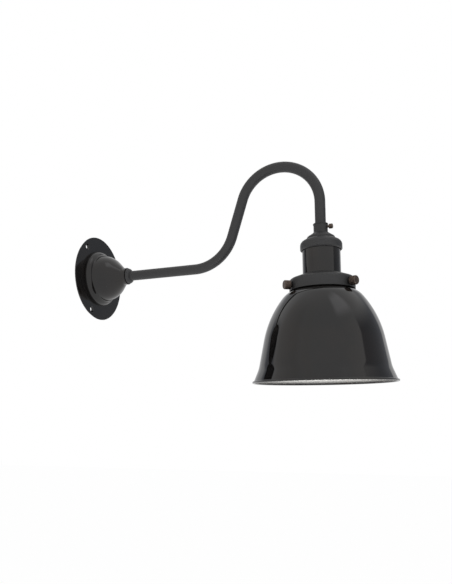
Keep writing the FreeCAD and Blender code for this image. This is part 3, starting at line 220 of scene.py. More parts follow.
def turnedTree():
    # the outline is carried round a circle, then every point is put back at its own radius and
    # level; ridges run along the piece and a thread winds round it where the outline asks
    tree, graph = newTree("turnedPiece", [("Steps", "Int"), ("Ridges", "Float"),
                                          ("Ridge Depth", "Float"), ("Pitch", "Float"),
                                          ("Thread Depth", "Float"), ("Finish", "Material")])
    given = graph.node("NodeGroupInput")
    line = graph.node("GeometryNodeMeshToCurve", {}, {"Mesh": given.part("Line")})
    position = graph.node("GeometryNodeInputPosition")
    place = graph.node("ShaderNodeSeparateXYZ", {}, {"Vector": position})
    for name, value in (("reach", place.part("X")), ("level", place.part("Z"))):
        line = graph.node("GeometryNodeStoreNamedAttribute",
                          {"data_type": "FLOAT", "domain": "POINT"},
                          {"Geometry": line, "Name": name, "Value": value})
    ring = graph.node("GeometryNodeCurvePrimitiveCircle", {"mode": "RADIUS"},
                      {"Resolution": given.part("Steps"), "Radius": 1.0})
    turn = graph.node("GeometryNodeInputIndex") / given.part("Steps")
    ring = graph.node("GeometryNodeStoreNamedAttribute", {"data_type": "FLOAT", "domain": "POINT"},
                      {"Geometry": ring, "Name": "turn", "Value": turn})
    body = graph.node("GeometryNodeCurveToMesh", {}, {"Curve": ring, "Profile Curve": line})

    def named(name):
        return graph.node("GeometryNodeInputNamedAttribute", {"data_type": "FLOAT"},
                          {"Name": name})

    circle = 2 * math.pi
    ridge = (named("turn") * given.part("Ridges") * circle).apply("COSINE") * -0.5 + 0.5
    wound = named("level") / given.part("Pitch") + named("turn")
    thread = (wound * circle).apply("COSINE") * -0.5 + 0.5
    radius = (named("reach") - ridge * named("ridged") * given.part("Ridge Depth")
              - thread * named("threaded") * given.part("Thread Depth"))
    angle = named("turn") * circle
    spot = graph.node("ShaderNodeCombineXYZ", {}, {"X": radius * angle.apply("COSINE"),
                                                   "Y": radius * angle.apply("SINE"),
                                                   "Z": named("level")})
    body = graph.node("GeometryNodeSetPosition", {}, {"Geometry": body, "Position": spot})
    body = graph.node("GeometryNodeMergeByDistance", {}, {"Geometry": body,
                                                          "Distance": mergeReach})
    body = graph.node("GeometryNodeRealizeInstances", {}, {"Geometry": body})
    body = graph.node("GeometryNodeSetMaterial", {}, {"Geometry": body,
                                                      "Material": given.part("Finish")})
    graph.node("NodeGroupOutput", {}, {"Piece": body})
    return tree


def sweptTree():
    # a round bar along a path
    tree, graph = newTree("sweptTube", [("Radius", "Float"), ("Steps", "Int"),
                                        ("Finish", "Material")])
    given = graph.node("NodeGroupInput")
    line = graph.node("GeometryNodeMeshToCurve", {}, {"Mesh": given.part("Line")})
    ring = graph.node("GeometryNodeCurvePrimitiveCircle", {"mode": "RADIUS"},
                      {"Resolution": given.part("Steps"), "Radius": given.part("Radius")})
    body = graph.node("GeometryNodeCurveToMesh", {}, {"Curve": line, "Profile Curve": ring})
    body = graph.node("GeometryNodeRealizeInstances", {}, {"Geometry": body})
    body = graph.node("GeometryNodeSetMaterial", {}, {"Geometry": body,
                                                      "Material": given.part("Finish")})
    graph.node("NodeGroupOutput", {}, {"Piece": body})
    return tree


def lineObject(name, points, closed, marks=None):
    mesh = bpy.data.meshes.new(name)
    count = len(points)
    edges = [(n, (n + 1) % count) for n in range(count if closed else count - 1)]
    mesh.from_pydata(points, edges, [])
    for label, values in (marks or {}).items():
        mesh.attributes.new(label, "FLOAT", "POINT").data.foreach_set("value", values)
    item = bpy.data.objects.new(name, mesh)
    scene.collection.objects.link(item)
    return item


def runTree(item, tree, values):
    modifier = item.modifiers.new("shape", "NODES")
    modifier.node_group = tree
    names = {s.name: s.identifier for s in tree.interface.items_tree if s.in_out == "INPUT"}
    for name, value in values.items():
        modifier[names[name]] = value
    return applied(item)


def applied(item):
    # the modifiers' result becomes the object's own plain mesh
    evaluated = item.evaluated_get(bpy.context.evaluated_depsgraph_get())
    mesh = bpy.data.meshes.new_from_object(evaluated)
    item.modifiers.clear()
    old, item.data = item.data, mesh
    bpy.data.meshes.remove(old)
    return item


def settled(item, place=None):
    # doubles merged, faces outward, smooth between sharp edges, placed in the mesh
    mesh = item.data
    for label in ("reach", "level", "turn", "ridged", "threaded"):
        if label in mesh.attributes:
            mesh.attributes.remove(mesh.attributes[label])
    shape = bmesh.new()
    shape.from_mesh(mesh)
    bmesh.ops.remove_doubles(shape, verts=shape.verts, dist=mergeReach)
    bmesh.ops.recalc_face_normals(shape, faces=shape.faces)
    if place is not None:
        shape.transform(place)
    shape.to_mesh(mesh)
    shape.free()
    mesh.polygons.foreach_set("use_smooth", [True] * len(mesh.polygons))
    mesh.set_sharp_from_angle(angle=math.radians(sharpTurn))
    return item


turned, swept = turnedTree(), sweptTree()


def turnPiece(name, points, finish, place, alongU=False, closed=True, soft=0.25, steps=144,
              marks=None, ridges=0.0, ridgeDepth=0.0, pitch=1.0, threadDepth=0.0):
    # alongU: the outline's u runs along the piece, otherwise v does
    # marks: rules that give a value from a point's reach and level
    line = softened(points, soft, closed) if soft else points
    places = [((v if alongU else u) * mm, 0, (u if alongU else v) * mm) for u, v in line]
    values = {label: [rule(x / mm, z / mm) for x, y, z in places]
              for label, rule in (marks or {}).items()}
    for label in ("ridged", "threaded"):
        values.setdefault(label, [0.0] * len(places))
    item = lineObject(name, places, closed, values)
    runTree(item, turned, {"Steps": steps, "Ridges": ridges, "Ridge Depth": ridgeDepth * mm,
                           "Pitch": pitch * mm, "Thread Depth": threadDepth * mm,
                           "Finish": finish})
    return settled(item, place)


def crossDrill(name, span, radius, degrees, level, steps):
    # a plain drill across the head's axis
    start, end = span
    line = [(start, 0), (start, radius), (end, radius), (end, 0)]
    return turnPiece(name, line, None, pointingPlace(degrees, level), alongU=True, closed=False,
                     soft=0, steps=steps)


def cutAway(item, tools):
    for tool in tools:
        modifier = item.modifiers.new("cut", "BOOLEAN")
        modifier.operation, modifier.solver, modifier.object = "DIFFERENCE", "EXACT", tool
    applied(item)
    for tool in tools:
        bpy.data.objects.remove(tool)
    return settled(item)


def standsFor(item, slot, body, *nodes):
    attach(item, body)
    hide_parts(*nodes)


# finishes

def newFinish(name):
    material = bpy.data.materials.new(name)
    material.use_nodes = True
    return material, Graph(material.node_tree)


def spots(graph, scale, detail=2.0, rough=0.5, stretch=None):
    # noise in the piece's own coordinates
    where = graph.node("ShaderNodeTexCoord", output="Object")
    if stretch:
        where = graph.node("ShaderNodeMapping", {}, {"Vector": where, "Scale": stretch})
    return graph.node("ShaderNodeTexNoise", {}, {"Vector": where, "Scale": scale,
                                                 "Detail": detail, "Roughness": rough})


def closeFinish(graph, colour, roughness, bumps, **fixed):
    # bumps: (height, strength, distance in mm), each laid over the one before
    under = {}
    for height, strength, distance in bumps:
        under = {"Normal": graph.node("ShaderNodeBump", {}, {
            "Height": height, "Strength": strength, "Distance": distance * mm, **under})}
    shader = graph.node("ShaderNodeBsdfPrincipled", {},
                        {"Base Color": colour, "Roughness": roughness, **under, **fixed})
    graph.node("ShaderNodeOutputMaterial", {}, {"Surface": shader})


# what the finishes of one kind share: scales of noise per metre, shares of roughness and relief
gloss = {"cloud": 26.0, "dust": 900.0, "dustRough": 0.012, "dustRelief": 0.12, "dustDeep": 0.004,
         "smear": 60.0, "smearStretch": (1, 1, 0.35), "waveRelief": 0.35, "fleck": 420.0,
         "fleckShare": 0.25}
satin = {"cloud": 34.0, "cloudShare": 0.35, "cloudRough": 0.05, "grainRough": 0.12,
         "grainDeep": 0.03, "peel": 220.0, "peelRelief": 0.15, "peelDeep": 0.05, "ior": 1.48}
worked = {"tarnishRough": 0.08, "lineDeep": 0.012}
moulded = {"skin": 1500.0, "skinRelief": 0.12, "skinDeep": 0.01, "cloud": 90.0,
           "cloudRough": 0.08, "stripes": 110.0, "ior": 1.5}


def glossEnamel(name, look):
    material, graph = newFinish(name)
    cloud, dust = spots(graph, gloss["cloud"], 3.0), spots(graph, gloss["dust"], 2.0)
    colour = graph.blend(graph.ease(cloud, 0.35, 0.65), look["colour"], look["second"])
    smear = spots(graph, gloss["smear"], 4.0, 0.6, gloss["smearStretch"])
    smear = graph.ease(smear, 0.45, 0.75)
    roughness = look["roughness"] + smear * look["smear"] + dust * gloss["dustRough"]
    if look.get("lining"):
        lining = graph.node("ShaderNodeAttribute", {"attribute_name": "lining"}, {}, "Fac")
        flecks = graph.blend(spots(graph, gloss["fleck"], 2.0) * gloss["fleckShare"],
                             look["lining"], look["liningSecond"])
        colour = graph.blend(lining, colour, flecks)
        roughness = roughness + lining * look["liningRough"]
    wave = spots(graph, look["wave"], 1.0)
    closeFinish(graph, colour, roughness, [(wave, gloss["waveRelief"], look["waveDeep"]),
                                           (dust, gloss["dustRelief"], gloss["dustDeep"])],
                IOR=look["ior"])
    return material


def satinPowder(name, look):
    material, graph = newFinish(name)
    grain, cloud = spots(graph, look["grain"], 3.0, 0.7), spots(graph, satin["cloud"], 3.0)
    colour = graph.blend(graph.ease(grain, 0.3, 0.72), look["colour"], look["second"])
    colour = graph.blend(cloud * satin["cloudShare"], colour, look["cloud"])
    roughness = look["roughness"] + grain * satin["grainRough"] + cloud * satin["cloudRough"]
    peel = spots(graph, satin["peel"], 1.0)
    closeFinish(graph, colour, roughness, [(grain, look["relief"], satin["grainDeep"]),
                                           (peel, satin["peelRelief"], satin["peelDeep"])],
                IOR=satin["ior"])
    return material


def workedMetal(name, look):
    material, graph = newFinish(name)
    lines = spots(graph, look["lines"], 3.0, 0.6, look["stretch"])
    tarnish = graph.ease(spots(graph, look["patch"], 4.0, 0.65), 0.42, 0.72)
    colour = graph.blend(tarnish * look["tarnish"], look["colour"], look["second"])
    roughness = look["roughness"] + lines * look["spread"] + tarnish * worked["tarnishRough"]
    closeFinish(graph, colour, roughness, [(lines, look["relief"], worked["lineDeep"])],
                Metallic=look["metallic"])
    return material


def mouldedPlastic(name, look):
    material, graph = newFinish(name)
    skin, cloud = spots(graph, moulded["skin"], 2.0), spots(graph, moulded["cloud"], 3.0)
    colour = graph.blend(graph.ease(cloud, 0.3, 0.7), look["colour"], look["second"])
    if look.get("stripe"):
        along = graph.node("ShaderNodeSeparateXYZ", {},
                           {"Vector": graph.node("ShaderNodeTexCoord", output="Object")})
        slant = (along.part("X") + along.part("Y") * 2.0 + along.part("Z")) * moulded["stripes"]
        wave = graph.ease(slant.apply("SINE"), 0.25, 0.45)
        colour = graph.blend(wave, colour, look["stripe"])
    closeFinish(graph, colour, look["roughness"] + cloud * moulded["cloudRough"],
                [(skin, moulded["skinRelief"], moulded["skinDeep"])], IOR=moulded["ior"])
    return material


finishes = {
    "enamel": glossEnamel("glossBlackEnamel", {
        "colour": (0.0042, 0.0038, 0.0038, 1), "second": (0.0062, 0.0050, 0.0046, 1),
        "roughness": 0.045, "smear": 0.03, "wave": 30.0, "waveDeep": 0.035, "ior": 1.46}),
    "shade": glossEnamel("shadeEnamel", {
        "colour": (0.0040, 0.0037, 0.0037, 1), "second": (0.0060, 0.0048, 0.0043, 1),
        "roughness": 0.045, "smear": 0.025, "wave": 24.0, "waveDeep": 0.04, "ior": 1.46,
        "lining": (0.86, 0.85, 0.82, 1), "liningSecond": (0.78, 0.77, 0.74, 1),
        "liningRough": 0.12}),
    "powder": satinPowder("satinBlackPowder", {
        "colour": (0.0095, 0.0095, 0.0103, 1), "second": (0.0205, 0.0205, 0.0215, 1),
        "cloud": (0.0165, 0.0155, 0.015, 1), "roughness": 0.40, "grain": 2600.0, "relief": 0.5}),
    "phenolic": glossEnamel("phenolicBlack", {
        "colour": (0.0048, 0.0042, 0.0039, 1), "second": (0.0080, 0.0064, 0.0056, 1),
        "roughness": 0.10, "smear": 0.05, "wave": 60.0, "waveDeep": 0.03, "ior": 1.48}),
    "bronze": workedMetal("darkBronze", {
        "colour": (0.105, 0.080, 0.066, 1), "second": (0.050, 0.040, 0.036, 1), "tarnish": 0.8,
        "patch": 320.0, "lines": 1100.0, "stretch": (1, 1, 1), "roughness": 0.30,
        "spread": 0.18, "relief": 0.25, "metallic": 0.9}),
    "brass": workedMetal("brightBrass", {
        "colour": (0.74, 0.55, 0.26, 1), "second": (0.52, 0.36, 0.16, 1), "tarnish": 0.6,
        "patch": 140.0, "lines": 700.0, "stretch": (1, 1, 5), "roughness": 0.20,
        "spread": 0.14, "relief": 0.2, "metallic": 1.0}),
    "zinc": workedMetal("zincSteel", {
        "colour": (0.60, 0.61, 0.63, 1), "second": (0.44, 0.45, 0.48, 1), "tarnish": 0.5,
        "patch": 180.0, "lines": 900.0, "stretch": (4, 1, 1), "roughness": 0.28,
        "spread": 0.16, "relief": 0.25, "metallic": 1.0}),
    "ivory": mouldedPlastic("ivoryPlastic", {
        "colour": (0.78, 0.75, 0.66, 1), "second": (0.72, 0.68, 0.58, 1), "roughness": 0.38}),
    "nylon": mouldedPlastic("blackNylon", {
        "colour": (0.030, 0.030, 0.031, 1), "second": (0.042, 0.041, 0.040, 1),
        "roughness": 0.45}),
    "live": mouldedPlastic("brownInsulation", {
        "colour": (0.16, 0.055, 0.022, 1), "second": (0.20, 0.075, 0.03, 1), "roughness": 0.42}),
    "neutral": mouldedPlastic("blueInsulation", {
        "colour": (0.03, 0.11, 0.38, 1), "second": (0.035, 0.13, 0.44, 1), "roughness": 0.42}),
    "earth": mouldedPlastic("stripedInsulation", {
        "colour": (0.10, 0.36, 0.05, 1), "second": (0.12, 0.40, 0.06, 1), "roughness": 0.42,
        "stripe": (0.72, 0.62, 0.06, 1)}),
}
print("finishes made:", len(finishes))

# wall plate and boss

# the block's and the earth screw's holes: reach, degrees, radius
plate = {"radius": 59.0, "thick": 3.0, "edge": 2.0, "backBevel": 0.4, "cableHole": 9.0,
         "fixingReach": 52.0, "fixingHole": 2.6, "fixingSink": 4.3, "fixingAngle": 7.6,
         "screwReach": 33.2, "screwHole": 2.25, "screwSink": 3.9, "screwAngle": 67.6,
         "blockHole": (18.0, 90, 1.0), "earthHole": (19.0, -90, 1.6)}


def sunkTool(name, reach, degrees, hole, sink, front):
    # a drill with a cone at the front or at the back face of the plate
    deep = sink - hole
    if front:
        line = [(-1, 0), (-1, hole), (plate["thick"] - deep, hole), (plate["thick"], sink),
                (plate["thick"] + 1, sink + 1), (plate["thick"] + 1, 0)]
    else:
        line = [(-1, 0), (-1, sink + 1), (0, sink), (deep, hole), (plate["thick"] + 1, hole),
                (plate["thick"] + 1, 0)]
    turn = math.radians(degrees)
    shift = Matrix.Translation((0, reach * math.cos(turn) * mm, reach * math.sin(turn) * mm))
    return turnPiece(name, line, None, shift @ wallPlace, alongU=True, closed=False, soft=0,
                     steps=48)


def makePlate():
    line = Outline(0, plate["cableHole"]).rise(plate["radius"] - plate["backBevel"])
    line.to(plate["backBevel"], plate["radius"])
    line.across(plate["thick"] - plate["edge"]).bend(plate["edge"], 90, step=9)
    line.rise(plate["cableHole"])
    item = turnPiece("wallPlatePiece", line.points, finishes["enamel"], wallPlace, alongU=True,
                     soft=0.2, steps=180)
    tools = [sunkTool(f"fixing{n}", plate["fixingReach"], plate["fixingAngle"] + 120 * n,
                      plate["fixingHole"], plate["fixingSink"], True) for n in range(3)]
    tools += [sunkTool(f"boss{n}", plate["screwReach"], plate["screwAngle"] + 120 * n,
                       plate["screwHole"], plate["screwSink"], False) for n in range(3)]
    for label in ("blockHole", "earthHole"):
        reach, degrees, hole = plate[label]
        tools.append(sunkTool(label, reach, degrees, hole, hole, False))
    return cutAway(item, tools)


standsFor(makePlate(), "gloss_black", "fixture", "wall_plate")

dome = {"radius": 40.0, "wall": 2.6, "side": 1.5, "bellyBend": 8.0, "bellyTurn": 62.0,
        "bellyFace": 1.1, "stepBend": 2.5, "stepTurn": 54.0, "crownBend": 35.6,
        "crownTurn": 38.0, "crownRun": 13.4, "nozzleBend": 4.0, "nozzleLength": 4.4,
        "bore": 7.05, "seat": 37.0}


def domeLine(inset, outer=True):
    line = Outline(plate["thick"], dome["radius"] - inset).ahead(dome["side"])
    line.bend(dome["bellyBend"] - inset, dome["bellyTurn"], False).ahead(dome["bellyFace"])
    line.bend(dome["stepBend"] + inset, dome["stepTurn"])
    line.bend(dome["crownBend"] - inset, dome["crownTurn"], False, step=1.5)
    if outer:
        line.ahead(dome["crownRun"])
        line.bend(dome["nozzleBend"], dome["bellyTurn"] - dome["stepTurn"] + dome["crownTurn"])
        return line.ahead(dome["nozzleLength"])
    return line.aheadTo(dome["seat"])


outer = domeLine(0)
nozzleEnd = outer.points[-1][0]
outer.rise(dome["bore"]).across(dome["seat"])
domePoints = outer.points + domeLine(dome["wall"], False).points[::-1]
standsFor(turnPiece("bossPiece", domePoints, finishes["enamel"], wallPlace, alongU=True,
                    steps=180), "gloss_black", "fixture", "wall_dome")

collar = {"radius": 11.0, "length": 6.0, "bevel": 0.7, "land": 0.6, "bend": 4.6, "turn": 62.0}
line = Outline(nozzleEnd, dome["bore"]).rise(collar["radius"] - collar["bevel"])
line.to(nozzleEnd + collar["bevel"], collar["radius"], 0.0).ahead(collar["land"])
line.bend(collar["bend"], collar["turn"], False).aheadTo(nozzleEnd + collar["length"])
line.rise(dome["bore"])
standsFor(turnPiece("collarPiece", line.points, finishes["powder"], wallPlace, alongU=True,
                    soft=0.2, steps=96), "arm_black", "fixture", "collar_nut")
print("wall plate, boss and collar made")

# arm

arm = {"tail": 26.0, "run": 157.9, "lowBend": 58.0, "riseTurn": 72.1, "riseLength": 52.6,
       "topBend": 54.4, "radius": 7.0, "wall": 1.6, "sides": 56}
line = Outline(arm["tail"], 0).across(arm["run"])
line.bend(arm["lowBend"], arm["riseTurn"], step=1.5).ahead(arm["riseLength"])
line.bend(arm["topBend"], arm["riseTurn"] + 90, False, step=1.5).rise(headZ / mm)
armPath = [(u * mm, 0, v * mm) for u, v in line.points]
tube = runTree(lineObject("armPiece", armPath, False), swept,
               {"Radius": arm["radius"] * mm, "Steps": arm["sides"], "Finish": finishes["powder"]})
settled(tube)
wall = tube.modifiers.new("wall", "SOLIDIFY")
wall.thickness, wall.offset = arm["wall"] * mm, -1
settled(applied(tube))
standsFor(tube, "arm_black", "fixture", "swan_neck_tube")
print("arm made")

# cap and lampholder

cap = {"bore": 7.05, "neckTop": 10.6, "neck": 9.2, "bead": 9.8, "beadLength": 1.6, "bevel": 0.4,
       "neckFoot": -0.6, "foot": 10.8, "footLevel": -2.3, "eaveTurn": 34.2, "eaveBend": 2.5,
       "eave": 18.3, "step": -9.5, "roofTurn": 28.2, "radius": 27.1, "corner": 6.9,
       "depth": 25.0, "lip": 1.5, "wall": 1.8, "stepInside": 0.6, "ceiling": -3.6,
       "ceilingRun": 3.6, "throat": 5.9, "seat": -1.2, "screwLevel": 6.25, "screwHole": 1.75,
       "drill": (4, 13)}


def capPoints():
    lean, fall = math.radians(cap["eaveTurn"]), math.radians(cap["roofTurn"])
    roofEnd = cap["radius"] - cap["corner"] * (1 - math.sin(fall))
    roofFall = (roofEnd - cap["eave"]) * math.tan(fall)
    cornerLevel = cap["step"] - roofFall - cap["corner"] * math.cos(fall)
    line = Outline(cap["bore"], cap["neckTop"]).across(cap["bead"] - cap["bevel"])
    line.to(cap["bead"], cap["neckTop"] - cap["bevel"])
    line.rise(cap["neckTop"] - cap["beadLength"] + cap["bevel"])
    line.to(cap["neck"], cap["neckTop"] - cap["beadLength"]).rise(cap["neckFoot"])
    line.to(cap["foot"], cap["footLevel"])
    line.aim(-cap["eaveTurn"], cap["eave"] - cap["eaveBend"] * (1 - math.sin(lean)))
    line.bend(cap["eaveBend"], 90 - cap["eaveTurn"], False, 6).rise(cap["step"])
    line.aim(-cap["roofTurn"], roofEnd)
    line.bend(cap["corner"], 90 - cap["roofTurn"], False).rise(cap["lip"] - cap["depth"])
    line.to(cap["radius"] - cap["lip"], -cap["depth"]).across(cap["radius"] - cap["wall"])
    line.rise(cornerLevel).heading = 90.0
    line.bend(cap["corner"] - cap["wall"], 90 - cap["roofTurn"])
    line.aheadTo(cap["eave"] - cap["wall"]).rise(cap["step"] + cap["stepInside"])
    line.to(cap["throat"] + cap["ceilingRun"], cap["ceiling"]).across(cap["throat"])
    return line.rise(cap["seat"]).across(cap["bore"]).points


capPiece = turnPiece("capPiece", capPoints(), finishes["powder"], headPlace, soft=0.22)
drill = crossDrill("setScrewHole", cap["drill"], cap["screwHole"], 0, cap["screwLevel"], 40)
standsFor(cutAway(capPiece, [drill]), "arm_black", "fixture", "holder_cap")

holder = {"radius": 24.5, "bevel": 0.8, "top": -holderDepth, "foot": -56.5, "spigot": 21.0,
          "end": -73.2, "chamber": 14.6, "floor": -31.0, "web": -43.1, "bore": 14.2}
line = Outline(0, holder["floor"]).across(holder["chamber"]).rise(holder["top"])
line.across(holder["radius"] - holder["bevel"])
line.to(holder["radius"], holder["top"] - holder["bevel"]).rise(holder["foot"])
line.across(holder["spigot"]).rise(holder["end"] + holder["bevel"])
line.to(holder["spigot"] - holder["bevel"], holder["end"]).across(holder["bore"])
line.rise(holder["web"]).across(0)
standsFor(turnPiece("lampholderPiece", line.points, finishes["phenolic"], headPlace,
                    closed=False), "holder_black", "fixture", "holder_body")

shell = {"radius": 13.9, "wall": 0.4, "top": -43.1, "end": -71.2, "levels": 84, "collar": 2.0,
         "foot": 0.6, "runIn": 1.2, "pitch": 3.63, "thread": 1.05, "earWidth": 5.0,
         "earLength": 6.4, "earThick": 0.5, "earReach": 10.3}


def makeShell():
    # a drawn brass sleeve with a rolled thread
    drop, count = shell["end"] - shell["top"], shell["levels"]
    levels = [shell["top"] + drop * n / count for n in range(count + 1)]
    line = [(shell["radius"], v) for v in levels]
    line += [(shell["radius"] - shell["wall"], v) for v in levels[::-1]]

    def threaded(reach, level):
        # the thread runs in from nothing at both ends
        above = (shell["top"] - shell["collar"] - level) / shell["runIn"]
        below = (level - shell["end"] - shell["foot"]) / shell["runIn"]
        return min(1.0, max(0.0, above)) * min(1.0, max(0.0, below))

    item = turnPiece("lampShellPiece", line, finishes["brass"], headPlace, soft=0, steps=96,
                     marks={"threaded": threaded}, pitch=shell["pitch"],
                     threadDepth=shell["thread"])
    ear = bmesh.new()
    ear.from_mesh(item.data)
    for vertex in bmesh.ops.create_cube(ear, size=1)["verts"]:
        x, y, z = vertex.co
        level = shell["top"] + (z - 0.5) * shell["earThick"]
        vertex.co = (headX + x * shell["earWidth"] * mm,
                     (shell["earReach"] + y * shell["earLength"]) * mm, headZ + level * mm)
    ear.to_mesh(item.data)
    ear.free()
    return item


standsFor(makeShell(), "bright_brass", "fixture", "screw_shell")
print("cap, lampholder and lamp shell made")

# gallery and its screws

gallery = {"hole": 21.1, "top": -56.5, "wall": 1.3, "radius": 42.2, "flat": 25.2, "turn": 20.8,
           "corner": 4.2, "band": -77.5, "screwLevel": -71.5, "screwHole": 2.45,
           "screwAngles": (-25.5, -145.5, 94.5), "drill": (36, 46)}


def galleryPoints():
    lean = math.radians(gallery["turn"])
    bendStart = gallery["radius"] - gallery["corner"] * (1 - math.sin(lean))
    outer = Outline(gallery["hole"], gallery["top"]).across(gallery["flat"])
    outer.aim(-gallery["turn"], bendStart)
    outer.bend(gallery["corner"], 90 - gallery["turn"], False).rise(gallery["band"])
    inner = Outline(gallery["hole"], gallery["top"] - gallery["wall"])
    inner.across(gallery["flat"] - gallery["wall"] * math.tan(lean / 2))
    inner.aim(-gallery["turn"], bendStart - gallery["wall"] * math.sin(lean))
    inner.bend(gallery["corner"] - gallery["wall"], 90 - gallery["turn"], False)
    return outer.points + inner.rise(gallery["band"]).points[::-1]


galleryPiece = turnPiece("galleryPiece", galleryPoints(), finishes["powder"], headPlace,
                         steps=180)
drills = [crossDrill(f"screwHole{n}", gallery["drill"], gallery["screwHole"], angle,
                     gallery["screwLevel"], 48)
          for n, angle in enumerate(gallery["screwAngles"])]
standsFor(cutAway(galleryPiece, drills), "arm_black", "fixture", "gallery")

thumb = {"start": 40.3, "shank": 2.4, "tip": 0.6, "knobStart": 43.5, "knob": 5.8, "length": 8.9,
         "chamfer": 0.8, "dishRim": 3.2, "dish": 2.7, "dishDepth": 0.35, "ridges": 24.0,
         "ridgeDepth": 0.35, "ridgeBand": 0.45, "pitch": 0.8, "thread": 0.28, "threadCore": 2.2,
         "threadGap": 0.2, "threadSteps": 20}


def thumbPoints():
    end = thumb["knobStart"] + thumb["length"]
    threadStart, count = thumb["start"] + thumb["tip"], thumb["threadSteps"]
    line = Outline(thumb["start"], 0).rise(thumb["shank"] - thumb["tip"])
    line.to(threadStart, thumb["shank"])
    for n in range(1, count + 1):
        line.across(threadStart + (thumb["knobStart"] - threadStart) * n / count)
    line.rise(thumb["knob"] - thumb["chamfer"])
    line.to(thumb["knobStart"] + thumb["chamfer"], thumb["knob"]).across(end - thumb["chamfer"])
    line.to(end, thumb["knob"] - thumb["chamfer"])
    line.rise(thumb["dishRim"]).to(end - thumb["dishDepth"], thumb["dish"])
    return line.rise(0).points


def thumbRidged(reach, level):
    return 1.0 if reach > thumb["knob"] - thumb["ridgeBand"] else 0.0


def thumbThreaded(reach, level):
    onShank = level < thumb["knobStart"] - thumb["threadGap"]
    return 1.0 if onShank and reach > thumb["threadCore"] else 0.0


for number, angle in enumerate(gallery["screwAngles"], 1):
    item = turnPiece(
        f"thumbScrewPiece{number}", thumbPoints(), finishes["bronze"],
        pointingPlace(angle, gallery["screwLevel"]), alongU=True, closed=False, soft=0.15,
        steps=240, marks={"ridged": thumbRidged, "threaded": thumbThreaded},
        ridges=thumb["ridges"], ridgeDepth=thumb["ridgeDepth"], pitch=thumb["pitch"],
        threadDepth=thumb["thread"])
    standsFor(item, "knob_bronze", f"thumb_screw_{number}", f"thumb_screw_{number}")

setScrew = {"start": 7.3, "shank": 1.7, "knobStart": 10.9, "knob": 3.2, "bevel": 0.5,
            "reach": 16.1, "round": 1.5, "ridges": 20.0, "ridgeDepth": 0.16, "ridgeFloor": 3.0}


def setScrewRidged(reach, level):
    return 1.0 if reach > setScrew["ridgeFloor"] else 0.0


line = Outline(setScrew["start"], 0).rise(setScrew["shank"]).across(setScrew["knobStart"])
line.rise(setScrew["knob"] - setScrew["bevel"])
line.to(setScrew["knobStart"] + setScrew["bevel"], setScrew["knob"])
line.across(setScrew["reach"] - setScrew["round"])
line.bend(setScrew["round"], 90, False, step=9).rise(0)
item = turnPiece("setScrewPiece", line.points, finishes["bronze"],
                 pointingPlace(0, cap["screwLevel"]), alongU=True, closed=False, soft=0.12,
                 steps=160, marks={"ridged": setScrewRidged}, ridges=setScrew["ridges"],
                 ridgeDepth=setScrew["ridgeDepth"])
standsFor(item, "knob_bronze", "set_screw", "set_screw")
print("gallery and screws made")

# shade

shade = {"neck": 40.0, "top": -63.96, "flareStart": -75.6, "flareBend": 4.0, "flareTurn": 60.15,
         "shoulderBend": 33.8, "shoulderTurn": 22.4, "bellBend": 128.6, "bellTurn": 26.45,
         "skirt": 32.95, "lipBend": 42.0, "lipTurn": 11.3, "lip": 13.1, "wall": 1.0,
         "bead": 1.5, "beadLead": 1.2, "beadSteps": 36}


def shadeLine(inset):
    line = Outline(shade["neck"] - inset, shade["top"], -90.0)
    line.ahead(shade["top"] - shade["flareStart"])
    line.bend(shade["flareBend"] + inset, shade["flareTurn"], step=5)
    line.bend(shade["shoulderBend"] - inset, shade["shoulderTurn"], False, step=1.0)
    line.bend(shade["bellBend"] - inset, shade["bellTurn"], False, step=0.8)
    return line.ahead(shade["skirt"]).bend(shade["lipBend"] + inset, shade["lipTurn"], step=1.0)


def shadePoints():
    outer, inner = shadeLine(0), shadeLine(shade["wall"])
    turn = math.radians(outer.heading)
    down, out = Vector((math.cos(turn), math.sin(turn))), Vector((-math.sin(turn), math.cos(turn)))
    middle = Vector(outer.points[-1]) + down * (shade["lip"] + shade["beadLead"])
    outer.ahead(shade["lip"] + shade["beadLead"] - shade["bead"])
    last = 360 - math.degrees(math.asin(shade["wall"] / shade["bead"]))
    for n in range(1, shade["beadSteps"] + 1):  # the rolled rim's round wire
        way = math.radians(last * n / shade["beadSteps"])
        spot = middle - down * shade["bead"] * math.cos(way) + out * shade["bead"] * math.sin(way)
        outer.points.append(tuple(spot))
    rim = len(outer.points)
    return outer.points + inner.points[::-1], rim


shadeOutline, rimEnd = shadePoints()
inside = set((round(u, 4), round(v, 4)) for u, v in shadeOutline[rimEnd:])


def lined(reach, level):
    # white enamel covers the inner line only
    return 1.0 if (round(reach, 4), round(level, 4)) in inside else 0.0


shadePiece = turnPiece("bellShadePiece", shadeOutline, finishes["shade"], headPlace, soft=0,
                       steps=240, marks={"lining": lined})
standsFor(shadePiece, "shade_enamel", "shade", "shade")
print("shade made:", len(shadePiece.data.polygons), "faces")

# the other nodes keep their own shape

smallFinishes = {
    "zinc": ("dome_screws", "arm_lock_nut", "arm_washer", "terminal_screws", "block_screw",
             "earth_screw", "earth_tag", "head_earth_tag", "head_earth_screw", "holder_screws",
             "post_screws", "gallery_nut"),
    "brass": ("terminal_barrels", "centre_contact", "live_terminal", "neutral_terminal"),
    "ivory": ("terminal_block",),
    "nylon": ("wall_bush", "head_bush"),
    "live": ("live_wire",),
    "neutral": ("neutral_wire",),
    "earth": ("earth_wire",),
}
for finish, nodes in smallFinishes.items():
    for node in nodes:
        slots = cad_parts[node].material_slots
        if len(slots):
            slots[0].material = finishes[finish]
        else:
            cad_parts[node].data.materials.append(finishes[finish])
print("small pieces finished")

# room, light and camera

room = {"floor": -1.3, "floorHalf": 9, "floorColour": (0.9, 0.9, 0.9, 1), "floorShown": 0.97,
        "diffuse": (0.80, 0.80, 0.81, 1), "white": (1, 1, 1, 1)}
